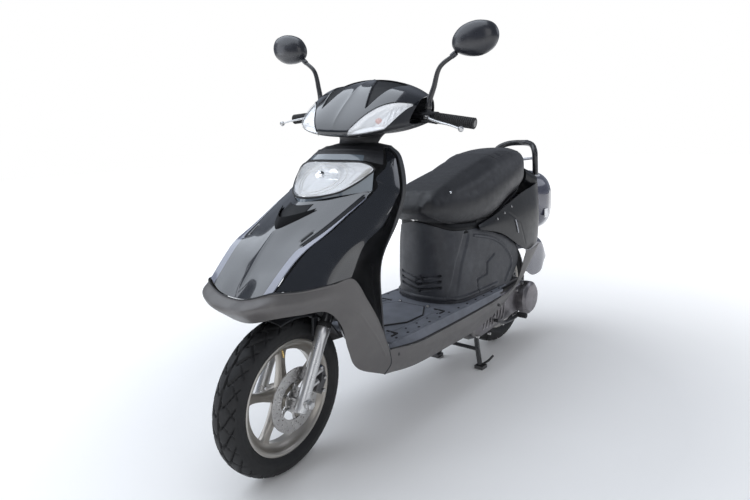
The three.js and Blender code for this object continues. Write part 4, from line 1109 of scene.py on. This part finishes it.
def bar_covers():
    x = np.linspace(-COVER_HALF, COVER_HALF, 193)
    w = steps(60)
    lower = cover_grid(FRONT_OUTLINE, *np.broadcast_arrays(x[None, :], w[:, None] * lamp_low(x)[None, :]))
    t = lamp_high(x)[None, :] + w[:, None] * (1 - lamp_high(x))[None, :]
    xx = np.broadcast_to(x[None, :], t.shape)
    upper = cover_grid(FRONT_OUTLINE, xx, t)
    s = (t - 0.62) / 0.38
    inner = 80 * (1 - np.clip(s, 0, 1)) ** 0.75
    outer = 80 + 46 * s
    inside = (s > 0) & (np.abs(xx) > inner) & (np.abs(xx) < outer)
    soft = smoothstep(0, 0.08, s) * smoothstep(0, 5, np.abs(xx) - inner) * smoothstep(0, 5, outer - np.abs(xx))
    n = normals(upper)
    upper = upper - n * (soft * 0.005)[..., None]
    keel = np.exp(-np.abs(xx) / 7) * smoothstep(0.4, 0.6, t) * 0.0018
    upper = upper + n * keel[..., None]
    cells = inside[:-1, :-1] & inside[1:, 1:]
    panel("bar_cover_upper", upper, "steering", "gloss_black", [GLOSS, DEEP], wall=0.0028, steered=True,
          replaces="handlebar_cover", paint=cells.astype(int))
    panel("bar_cover_lower", lower, "steering", "matt_black", MATT, wall=0.0028, steered=True)
    rear = cover_grid(REAR_OUTLINE, *np.broadcast_arrays(x[None, :], w[:, None]))
    hood_line = np.exp(-(((w - 0.30) / 0.05) ** 2))[:, None] * (1 - smoothstep(70, 90, np.abs(x)))[None, :]
    rear = rear + normals(rear) * (0.006 * hood_line)[..., None]
    panel("instrument_panel", rear, "steering", "matt_black", MATT, wall=0.0028, steered=True,
          replaces="instrument_cover")
    for sign, tag in SIDES:
        turn_lamp(sign, tag)
    instrument_details()


def instrument_details():
    dial_face = block((0.108, 0.044, 0.003), at([0, 520, 1101.5]), 0.3)
    make("dial_glass", dial_face, "steering", "clear_lens", CLEAR, steered=True, replaces="instrument_dial")
    marks = []
    for k in range(11):
        a = math.radians(210 - 24 * k)
        ends = [(wide * math.cos(a) - 14, 516 + deep * math.sin(a), 1104.2) for wide, deep in ((34, 17), (39, 20))]
        marks.append(tube(at(ends), 0.0007, 6, 4))
    marks.append(tube(at([(-14, 512, 1104.3), (8, 528, 1104.3)]), 0.0009, 6, 4))
    make("dial_marks", merge(*marks), "steering", "clear_lens", WHITE, steered=True)
    stations = smooth([(356, 900, 70), (380, 925, 66), (396, 945, 72), (410, 962, 88)], steps(20))
    angle = np.arange(48) * 2 * math.pi / 48
    rings = at([[(r * math.cos(a), y + r * 0.85 * math.sin(a), z + 0.2 * r * math.sin(a)) for a in angle]
                for y, z, r in stations])
    make("bar_neck", loft(rings), "steering", "matt_black", MATT, steered=True)


def turn_lamp(sign, tag):
    x = sign * np.linspace(53.5, 185, 90)
    w = steps(30)
    low, high = lamp_low(x), lamp_high(x)
    t = low[None, :] + w[:, None] * (high - low)[None, :]
    xx = np.broadcast_to(x[None, :], t.shape)
    outer = cover_grid(FRONT_OUTLINE, xx, t)
    n = normals(outer) * (1 if sign > 0 else -1)
    shape = np.sin(math.pi * np.clip(w, 0, 1))[:, None] ** 0.5 * np.ones_like(xx)
    lens = outer + n * (0.0006 + 0.0025 * shape)[..., None]
    panel(f"turn_lamp_glass_{tag}", lens, "steering", "clear_lens", CLEAR, wall=0.0018, steered=True,
          replaces=f"indicator_{tag}", flip=sign < 0)
    across = np.linspace(0, 1, 90)[None, :]
    depth = 0.003 + 0.030 * np.sin(math.pi * across) ** 0.8 * shape
    flutes = 0.0022 * np.abs(np.sin(across * 46 + w[:, None] * 4)) * smoothstep(0.62, 0.75, across) * shape
    bowl = outer - n * (depth - flutes)[..., None]
    panel(f"turn_lamp_bowl_{tag}", bowl, "steering", "chrome", DULL, wall=0.001, steered=True, flip=sign < 0)
    base = at([sign * 112, 330, 992])
    bulb = turned([(-0.020, 0), (-0.018, 0.008), (-0.009, 0.0130), (0.003, 0.0125), (0.011, 0.008), (0.016, 0.006),
                   (0.016, 0)],
                  base, (0, 1, 0), 32)
    line_x = sign * np.linspace(56, 183, 60)
    gap = cover_grid(FRONT_OUTLINE, line_x[None, :], lamp_high(line_x)[None, :])[0]
    make(f"turn_lamp_gap_{tag}", tube(gap, 0.0017, 8, 90), "steering", "matt_black", DEEP, steered=True)
    make(f"turn_lamp_bulb_{tag}", bulb, "steering", "clear_lens", AMBER, steered=True)


def controls():
    refined("handlebar", STEEL_BLACK, 0.0008)
    start, end = at([206, 471.9, 1005.6]), at([346, 475.2, 989.8])
    axis = (end - start) / np.linalg.norm(end - start)
    profile = [(0.014, 0), (0.014, 0.0125), (0.014, 0.0185), (0.018, 0.0185), (0.020, 0.0158)]
    for k in range(18):
        x = 0.022 + k * 0.0064
        profile += [(x, 0.0150), (x + 0.0012, 0.0164), (x + 0.0046, 0.0164), (x + 0.0056, 0.0150)]
    profile += [(0.139, 0.0166), (0.1405, 0.0150), (0.1405, 0.0)]
    grip = turned(profile, start, axis, 40)
    make("grip_sleeve_left", grip, "steering", "rubber", RUBBER, steered=True, replaces="grip_left", sharp=50)
    make("grip_sleeve_right", mirrored(grip), "throttle", "rubber", RUBBER, steered=True, replaces="grip_right",
         sharp=50)
    for sign, tag in SIDES:
        path = at([(209, 436, 1005.6), (220, 428, 1003), (240, 421, 998), (270, 411, 992), (305, 406, 985),
                   (330, 402.5, 978)])
        blade = tube(path, [0.0075, 0.0066, 0.0056, 0.0052, 0.0046, 0.0042], 20, 60, flat=0.62)
        ball = turned([(-0.0085, 0), (-0.0080, 0.003), (-0.0055, 0.0065), (0, 0.0085), (0.0055, 0.0065),
                       (0.0080, 0.003), (0.0085, 0)], at([337, 401.5, 976.2]), (1, 0, 0), 32)
        eye = turned([(-0.0052, 0.0036), (-0.0052, 0.0084), (-0.0044, 0.009), (0.0044, 0.009), (0.0052, 0.0084),
                      (0.0052, 0.0036)], at([206, 437.9, 1005.6]), (0, 0, 1), 32)
        make(f"brake_blade_{tag}", on_side(merge(blade, ball, eye), sign), f"lever_{tag}", "bare_metal", SILVER,
             steered=True, replaces=f"brake_lever_{tag}")
        refined(f"lever_perch_{tag}", MATT, 0.0014)
        bolt = hex_bolt(at([206, 437.9, 1018.5]), (0, 0, 1), 0.005)
        housing = block((0.040, 0.030, 0.034), at([186, 474, 1006]), 0.3)
        make(f"switch_housing_{tag}", on_side(merge(bolt, housing), sign), "steering", "matt_black", MATT,
             steered=True)
    refined("horn_button", MATT, 0.0008)
    refined("starter_button", MATT, 0.0008)


def mirrors():
    route = [(206, 447.9, 1036), (208, 451.9, 1058), (218, 455.9, 1092), (236, 456, 1148), (286, 458, 1184)]
    stem = tube(at(route), [0.0085, 0.0085, 0.0078, 0.0068, 0.006], 20, 60)
    boot = turned([(0, 0), (0, 0.0095), (0.004, 0.0102), (0.012, 0.0100), (0.02, 0.0085), (0.036, 0.0066),
                   (0.040, 0.0058), (0.040, 0)], at([206, 447.9, 1030.2]), (0.03, 0.09, 1), 28)
    knuckle = turned([(-0.006, 0), (-0.006, 0.0078), (0.004, 0.0085), (0.012, 0.0078), (0.016, 0)],
                     at([276, 457.5, 1179]), (0.8, 0.03, 0.58), 24)
    outline = np.array([(-60, -26), (-30, -44), (20, -47), (60, -26), (72, 8), (54, 38), (10, 47), (-36, 34),
                        (-62, 4)], float)
    loop = smooth(np.concatenate([outline, outline[:3]]), np.linspace(1 / 11, 10 / 11, 73))[:-1]
    middle = (338, 1222)
    levels = [(0.02, 424), (0.3, 425.5), (0.55, 428.5), (0.76, 433.5), (0.91, 441), (0.985, 451), (1.0, 460),
              (0.985, 466.5), (0.945, 468.6), (0.915, 466), (0.90, 462.5)]
    shell = loft(at([[(middle[0] + x * s, y, middle[1] + z * s) for x, z in loop] for s, y in levels]))
    levels = [(0.9, 463), (0.905, 465.0), (0.88, 465.7), (0.02, 467.2)]
    glass = loft(at([[(middle[0] + x * s, y, middle[1] + z * s) for x, z in loop] for s, y in levels]))
    for sign, tag in SIDES:
        make(f"mirror_arm_{tag}_tube", on_side(merge(stem, boot), sign), f"mirror_arm_{tag}", "black_steel",
             STEEL_BLACK, steered=True, replaces=f"mirror_stem_{tag}")
        make(f"mirror_shell_{tag}", on_side(merge(shell, knuckle), sign), f"mirror_{tag}", "matt_black",
             MIRROR_SHELL, steered=True, replaces=f"mirror_head_{tag}", sharp=50)
        make(f"mirror_face_{tag}", on_side(glass, sign), f"mirror_{tag}", "mirror", MIRROR, steered=True,
             replaces=f"mirror_glass_{tag}", sharp=50)


# ---- fork and wheels ---------------------------------------------------------------------------------
FRONT_AXLE = at([0, 0, TYRE_RADIUS])


def leg_point(side, s, x=80):
    """A point on the axis of one leg, s up from the axle."""
    return FRONT_AXLE + np.array((side * x / 1000, s / 1000 * math.sin(RAKE), s / 1000 * math.cos(RAKE)))


def fork():
    legs = []
    ahead = (0, math.sin(RAKE), math.cos(RAKE))
    for side in (-1, 1):
        profile = [(-0.032, 0), (-0.032, 0.012), (-0.028, 0.0165), (-0.018, 0.0185), (0.010, 0.019), (0.03, 0.0180),
                   (0.16, 0.0180), (0.19, 0.0188), (0.195, 0.0202), (0.212, 0.0202), (0.218, 0.0185), (0.218, 0.0156),
                   (0.19, 0.0156), (0.19, 0)]
        legs.append(turned(profile, leg_point(side, 0), ahead, 48))
        legs.append(hex_bolt(leg_point(side, 0) + (side * 0.026, 0, 0), (side, 0, 0), 0.013))
        legs.append(turned([(-0.01, 0), (-0.01, 0.0135), (0.018, 0.0135), (0.020, 0.011), (0.020, 0)],
                           leg_point(side, 0) + (side * 0.006, 0, 0), (side, 0, 0), 32))
    legs.append(tube([FRONT_AXLE + (-0.1, 0, 0), FRONT_AXLE + (0.1, 0, 0)], 0.0068, 20))
    for z, y in ((262, 66), (292, 84)):
        legs.append(tube(at([(72, y - 22, z), (72, y + 8, z + 4)]), 0.0085, 16))
    make("fork_legs", merge(*legs), "fork", "fork_silver", SILVER, steered=True, replaces="fork_sliders")
    seals = [turned([(0.2185, 0.0148), (0.2185, 0.0208), (0.226, 0.0205), (0.232, 0.0172), (0.234, 0.0150)],
                    leg_point(side, 0), ahead, 40) for side in (-1, 1)]
    make("fork_wipers", merge(*seals), "fork", "rubber", RUBBER, steered=True)
    refined("fork_crown", STEEL_BLACK, 0.0012)
    refined("brake_caliper", CAST, 0.0022)
    bolts = [hex_bolt(at([79, y, z]), (1, 0, 0), 0.0062) for y, z in ((92, 232), (84, 306), (100, 270))]
    make("caliper_bolts", merge(*bolts), "fork", "bare_metal", STEEL, steered=True)
    fitting = turned([(0, 0), (0, 0.006), (0.010, 0.006), (0.012, 0.004), (0.016, 0.004), (0.016, 0)],
                     at([66, 80, 322]), (0.2, 0.2, 1), 6)
    make("hose_fitting", fitting, "fork", "bare_metal", BLUE, steered=True)
    arc = []
    across = ((54, 238), (50, 243), (30, 247), (0, 249), (-30, 247), (-50, 243), (-54, 238))
    for angle in np.radians(np.linspace(78, 150, 60)):
        arc.append([(x, -r * math.cos(angle), TYRE_RADIUS + r * math.sin(angle)) for x, r in across])
    guard = sheet(at(arc), steps(36), steps(80))
    panel("front_guard", guard, "fork", "matt_black", MATT, steered=True, replaces="front_mudguard", flip=True)
    stays = [block((0.008, 0.022, 0.056), at([s * 55, 88, 428]), 0.3) for s in (-1, 1)]
    make("guard_stays", merge(*stays), "fork", "matt_black", MATT, steered=True)
    hose = at([(58, 92, 322.5), (60, 116, 372), (66, 164, 440), (72, 220, 510), (72, 244, 580), (64, 272, 640)])
    piece = make("brake_hose_sleeve", tube(hose, 0.0039, 16, 70), "steering", "rubber", RUBBER, steered=True,
                 replaces="brake_hose")
    piece.parent = None
    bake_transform(piece)


REPEATS = 26  # of the tread pattern round the tyre


def tyre(centre):
    """Tyre with swept tread grooves and a ribbed wall."""
    s = np.linspace(-1, 1, 73)
    half = [(0, TYRE_RADIUS), (24, 229.5), (40, 217), (45.5, 200), (45, 186), (33, 170.4)]
    outside = smooth([(-x, r) for x, r in reversed(half[1:])] + half, (s + 1) / 2)
    segments = 420
    angle = np.arange(segments) * 2 * math.pi / segments
    ring = np.stack([np.zeros(segments), np.sin(angle), np.cos(angle)], axis=1)
    x = outside[:, 0][:, None] / 1000
    radius = outside[:, 1][:, None] / 1000 + 0 * angle[None, :]
    side = np.abs(x) / 0.045
    pitch = 2 * math.pi / REPEATS

    def grooves(phase, place, width, start, end):
        """Depth, from 0 to 1, of grooves that run from one share of the half width to another."""
        line = 1 - smoothstep(*width, np.abs(phase - place))
        return line * smoothstep(*start, side) * (1 - smoothstep(*end, side)) * (radius > 0.206)

    phase = (angle[None, :] - 0.34 * np.clip(side, 0, 1) ** 1.6 - (x < 0) * pitch / 2) % pitch / pitch
    swept = grooves(phase, 0.5, (0.045, 0.085), (0.13, 0.2), (0.84, 0.93))
    phase = (angle[None, :] + 0.30 * np.clip(side, 0, 1) ** 1.3 + (x < 0) * pitch / 2) % pitch / pitch
    cross = grooves(phase, 0.2, (0.03, 0.06), (0.42, 0.5), (0.86, 0.94))
    wave = 0.0035 * np.sin(angle[None, :] * REPEATS)
    centre_line = (1 - smoothstep(0.0014, 0.0028, np.abs(x + wave * 0.5)))
    radius = radius - 0.0062 * np.maximum(np.maximum(swept, cross * 0.8), centre_line)
    place = outside[:, 1][:, None]
    wall = np.abs(place - 196)
    rings = 0.012 * np.exp(-((wall - 6) / 1.2) ** 2), 0.012 * np.exp(-((wall - 16) / 1.0) ** 2) * (place < 196)
    x = x * (1 + rings[0] + rings[1])
    grid = np.array(centre)[None, None, :] + ring[None, :, :] * radius[..., None]
    grid = grid + np.stack([np.broadcast_to(x, radius.shape), 0 * radius, 0 * radius], axis=-1)
    inner = smooth([(33, 170.4), (26, 172), (0, 176), (-26, 172), (-33, 170.4)], steps(10))[1:-1]
    back = np.array([[np.array(centre) + (px / 1000, 0, 0) + p * pr / 1000 for p in ring] for px, pr in inner])
    full = np.concatenate([grid, back, grid[:1]])
    return grid_part(full[:, ::-1], wrap=True)


def five_spoke_rim(centre, hub_half, hub_radius):
    """Cast rim with a well, a waisted hub and five spokes that are grooved on both faces."""
    c = np.array(centre)
    face = [(34, 170.2), (35.4, 166), (33, 160), (27, 155), (17, 150), (12, 140), (10, 136.5)]
    well = [(-30, 166), (-26, 160), (-12, 150), (12, 150), (26, 160), (30, 166)]
    profile = face + [(-x, r) for x, r in reversed(face)] + well
    parts = [ring_solid([(x / 1000, r / 1000) for x, r in profile], c, 128)]
    h = hub_half / 1000
    r = hub_radius / 1000
    half = [(0.018, r), (h - 0.014, r * 0.82), (h - 0.004, r * 0.70), (h, r * 0.62), (h, 0)]
    parts.append(turned([(-x, radius) for x, radius in reversed(half)] + half, c, (1, 0, 0), 64))
    stations = smooth([(24, 21, 17), (44, 17, 15), (80, 12.5, 12), (112, 12.5, 11), (132, 17, 12), (141, 26, 13)],
                      steps(30))
    groove_side = [(-1, 0.55), (-0.82, 0.86), (-0.45, 1), (0.0, 0.82), (0.45, 1), (0.82, 0.86), (1, 0.55)]
    outline = [(a, -b) for a, b in groove_side] + groove_side[::-1]
    spoke = np.array([[(b * thick / 1000, a * wide / 1000, distance / 1000) for a, b in outline]
                      for distance, wide, thick in stations])
    for k in range(5):
        angle = 2 * math.pi * k / 5
        cosine, sine = math.cos(angle), math.sin(angle)
        x, y, z = np.moveaxis(spoke, -1, 0)
        swung = np.stack([x, y * cosine + z * sine, z * cosine - y * sine], axis=-1)
        parts.append(grid_part(swung + c, wrap=True, caps=True))
    return merge(*parts)


def perforated_disc(centre, x):
    """Brake disc with rows of drilled holes, as points and faces."""
    curve = bpy.data.curves.new("disc_outline", "CURVE")
    curve.dimensions = "2D"
    curve.fill_mode = "BOTH"
    curve.extrude = 0.0016
    curve.bevel_depth = 0.0003

    def circle(cx, cy, r, count):
        spline = curve.splines.new("POLY")
        spline.points.add(count - 1)
        for i in range(count):
            a = 2 * math.pi * i / count
            spline.points[i].co = (cx + r * math.cos(a), cy + r * math.sin(a), 0, 1)
        spline.use_cyclic_u = True

    circle(0, 0, 0.0945, 128)
    circle(0, 0, 0.058, 96)
    for row, radius in enumerate((0.0665, 0.0765, 0.0865)):
        for i in range(20):
            a = 2 * math.pi * (i + row * 0.34) / 20
            circle(radius * math.cos(a), radius * math.sin(a), 0.0026, 12)
    obj = bpy.data.objects.new("disc_source", curve)
    scene.collection.objects.link(obj)
    bpy.context.view_layer.update()
    mesh = bpy.data.meshes.new_from_object(obj.evaluated_get(bpy.context.evaluated_depsgraph_get()))
    points = np.array([v.co for v in mesh.vertices])
    faces = [tuple(p.vertices) for p in mesh.polygons]
    bpy.data.objects.remove(obj)
    placed = np.stack([points[:, 2] + x, points[:, 0], points[:, 1]], axis=1) + np.array(centre)
    return placed, faces


def wheels():
    make("front_tread_tyre", tyre(FRONT_AXLE), "front_wheel", "tyre", TYRE, steered=True, replaces="front_tyre",
         sharp=50)
    make("front_spoke_rim", five_spoke_rim(FRONT_AXLE, 46, 32), "front_wheel", "rim_alloy", RIM, steered=True,
         replaces="front_rim", sharp=40)
    disc = perforated_disc(FRONT_AXLE, 0.052)
    make("front_disc_ring", disc, "front_wheel", "bare_metal", STEEL, steered=True, replaces="brake_disc", sharp=30)
    carrier = [turned([(0.0475, 0.012), (0.0475, 0.036), (0.0515, 0.036), (0.0515, 0.012)], FRONT_AXLE, (1, 0, 0),
                      48)]
    for k in range(6):
        a = 2 * math.pi * k / 6
        radial = np.array((0, math.sin(a), math.cos(a)))
        sideways = np.array((0, math.cos(a), -math.sin(a)))
        arm = [FRONT_AXLE + (0.0497, 0, 0) + radial * 0.030,
               FRONT_AXLE + (0.0500, 0, 0) + radial * 0.045 + sideways * 0.006,
               FRONT_AXLE + (0.0502, 0, 0) + radial * 0.062]
        carrier.append(tube(arm, [0.009, 0.0055, 0.0065], 12, 12, flat=0.3))
        carrier.append(dome_screw(FRONT_AXLE + (0.0535, 0, 0) + radial * 0.0262, (1, 0, 0), 0.0048))
    make("disc_carrier", merge(*carrier), "front_wheel", "bare_metal", STEEL, steered=True)
    valve = tube([FRONT_AXLE + (x, 0, z) for x, z in ((0.004, 0.150), (0.012, 0.128), (0.014, 0.118))],
                 [0.0042, 0.0032, 0.0026], 12, 12)
    make("front_valve", valve, "front_wheel", "bare_metal", BRASS, steered=True)
    make("rear_tread_tyre", tyre(REAR_AXLE), "rear_wheel", "tyre", TYRE, replaces="rear_tyre", sharp=50)
    make("rear_spoke_rim", five_spoke_rim(REAR_AXLE, 44, 55), "rear_wheel", "rim_alloy", RIM, replaces="rear_rim",
         sharp=40)


# ---- engine and stand -----------------------------------------------------------------------------------
def engine():
    refined("engine_unit", CAST, 0.003)
    refined("transmission_cover", DRUM, 0.004, angle=30)
    places = ((850, 262), (900, 274), (1000, 270), (1100, 273), (1180, 277),
              (860, 170), (950, 156), (1060, 164), (1160, 172))
    bolts = [hex_bolt(at([146.5, y, z]), (1, 0, 0), 0.0062) for y, z in places]
    make("drive_case_bolts", merge(*bolts), "engine", "bare_metal", STEEL)
    ribs = []
    for y in range(900, 1057, 26):
        ribs.append(tube(at([(146, y, 186), (148, y + 12, 222), (146, y + 18, 258)]), 0.0028, 10, 16))
    make("drive_case_ribs", merge(*ribs), "engine", "bare_metal", DRUM)
    fins = [block((0.132, 0.0032, 0.118), at([0, 724 + 10 * k, 250]), 0.3) for k in range(9)]
    make("cylinder_fins", merge(*fins), "engine", "cast_alloy", CAST)
    refined("kick_starter", STEEL_BLACK, 0.001)
    rubber = turned([(0, 0), (0, 0.0104), (0.003, 0.0112), (0.034, 0.0112), (0.037, 0.0104), (0.037, 0)],
                    at([170, 1148, 185]), (1, 0, 0), 28)
    make("kick_pad", rubber, "kick", "rubber", RUBBER)
    refined("exhaust", STEEL_BLACK, 0.002, angle=50)
    shield = sheet(at([[(-153, y, 192), (-158, y, 212), (-153, y, 234)] for y in (1090, 1200, 1320)]), steps(20),
                   steps(60))
    panel("heat_shield", shield, "engine", "chrome", CHROME, wall=0.0015)
    refined("centre_stand", STEEL_BLACK, 0.0012)
    refined("shock_body", STEEL_BLACK, 0.001)
    refined("shock_rod", STEEL, 0.0006)
    top, low = at([84, 1206, 560]), at([84, 1262, 324])
    along = low - top
    unit = along / np.linalg.norm(along)
    side = np.array((1.0, 0, 0))
    other = np.cross(unit, side)
    turns, radius = 7.5, 0.0225  # of the coil
    coil = []
    for t in steps(240):
        a = 2 * math.pi * turns * t
        coil.append(top + along * (0.10 + 0.47 * t) + radius * (math.cos(a) * side + math.sin(a) * other))
    make("rear_spring", tube(coil, 0.0042, 12, 480), "shock_upper", "bare_metal", STEEL)
    filter_box = block((0.056, 0.20, 0.095), at([82, 1010, 330]), 0.45)
    make("air_cleaner", filter_box, "engine", "matt_black", MATT)


# ---- stage ----------------------------------------------------------------------------------------------
def floor_look():
    """Pale floor that glows softly away from the scooter, so that it runs into the white background."""
    m = look("studio_floor", (0.86, 0.86, 0.86), 0.7, vary=0.01, vary_scale=1.5, grain=("noise", 60, 0.02, 0.0003))
    tree = m.node_tree
    shader = tree.nodes["Principled BSDF"]
    distance = tree.nodes.new("ShaderNodeVectorMath")
    distance.operation = "LENGTH"
    tree.links.new(tree.nodes.new("ShaderNodeTexCoord").outputs["Object"], distance.inputs[0])
    glow = tree.nodes.new("ShaderNodeMapRange")
    glow.inputs["From Min"].default_value = 0.9
    glow.inputs["From Max"].default_value = 3.4
    glow.inputs["To Min"].default_value = 0.0
    glow.inputs["To Max"].default_value = 0.7
    tree.links.new(distance.outputs["Value"], glow.inputs["Value"])
    tree.links.new(glow.outputs["Result"], shader.inputs["Emission Strength"])
    shader.inputs["Emission Color"].default_value = (1, 1, 1, 1)
    shader.inputs["Specular IOR Level"].default_value = 0.2
    return m


def area(name, place, target, size, power, color=(1, 1, 1)):
    data = bpy.data.lights.new(name, "AREA")
    data.shape = "RECTANGLE"
    data.size, data.size_y = size
    data.energy = power
    data.color = color
    obj = bpy.data.objects.new(name, data)
    scene.collection.objects.link(obj)
    obj.location = place
    obj.rotation_euler = (Vector(target) - Vector(place)).to_track_quat("-Z", "Y").to_euler()


def stage():
    mesh = bpy.data.meshes.new("floor")
    mesh.from_pydata([(-14, -14, -0.0006), (14, -14, -0.0006), (14, 14, -0.0006), (-14, 14, -0.0006)], [],
                     [(0, 1, 2, 3)])
    mesh.materials.append(floor_look())
    floor = bpy.data.objects.new("floor", mesh)
    scene.collection.objects.link(floor)
    area("overhead", (-1.2, -0.8, 3.6), (0, 0, 0.4), (4.2, 4.6), 115, (0.86, 0.92, 1.0))
    area("front_left", (3.0, -3.4, 2.4), (0, -0.2, 0.5), (2.6, 2.8), 26)
    area("front_right", (-3.4, -2.8, 1.6), (0, -0.4, 0.6), (2.0, 2.6), 26, (0.88, 0.92, 1.0))
    area("rear_rim", (2.4, 3.2, 2.6), (0, 0.4, 0.6), (2.4, 2.0), 18, (0.86, 0.90, 1.0))
    world = bpy.data.worlds.new("studio")
    scene.world = world
    world.use_nodes = True
    tree = world.node_tree
    background = tree.nodes["Background"]
    path = tree.nodes.new("ShaderNodeLightPath")
    below = (0.46, 0.47, 0.49, 1)
    for ray, color in (("Is Glossy Ray", (0.20, 0.22, 0.26, 1)), ("Is Camera Ray", (1.0, 1.0, 1.0, 1))):
        mix = tree.nodes.new("ShaderNodeMix")
        mix.data_type = "RGBA"
        if isinstance(below, tuple):
            mix.inputs["A"].default_value = below
        else:
            tree.links.new(below, mix.inputs["A"])
        mix.inputs["B"].default_value = color
        tree.links.new(path.outputs[ray], mix.inputs["Factor"])
        below = mix.outputs["Result"]
    tree.links.new(below, background.inputs["Color"])
    background.inputs["Strength"].default_value = 1.0
    scene.view_settings.view_transform = "Standard"


make_camera()
front_panels()
scoop()
headlight()
upper_shield()
lower_panels()
foot_deck()
seat_column()
rear_panels()
seat()
bar_covers()
controls()
mirrors()
fork()
wheels()
engine()
stage()
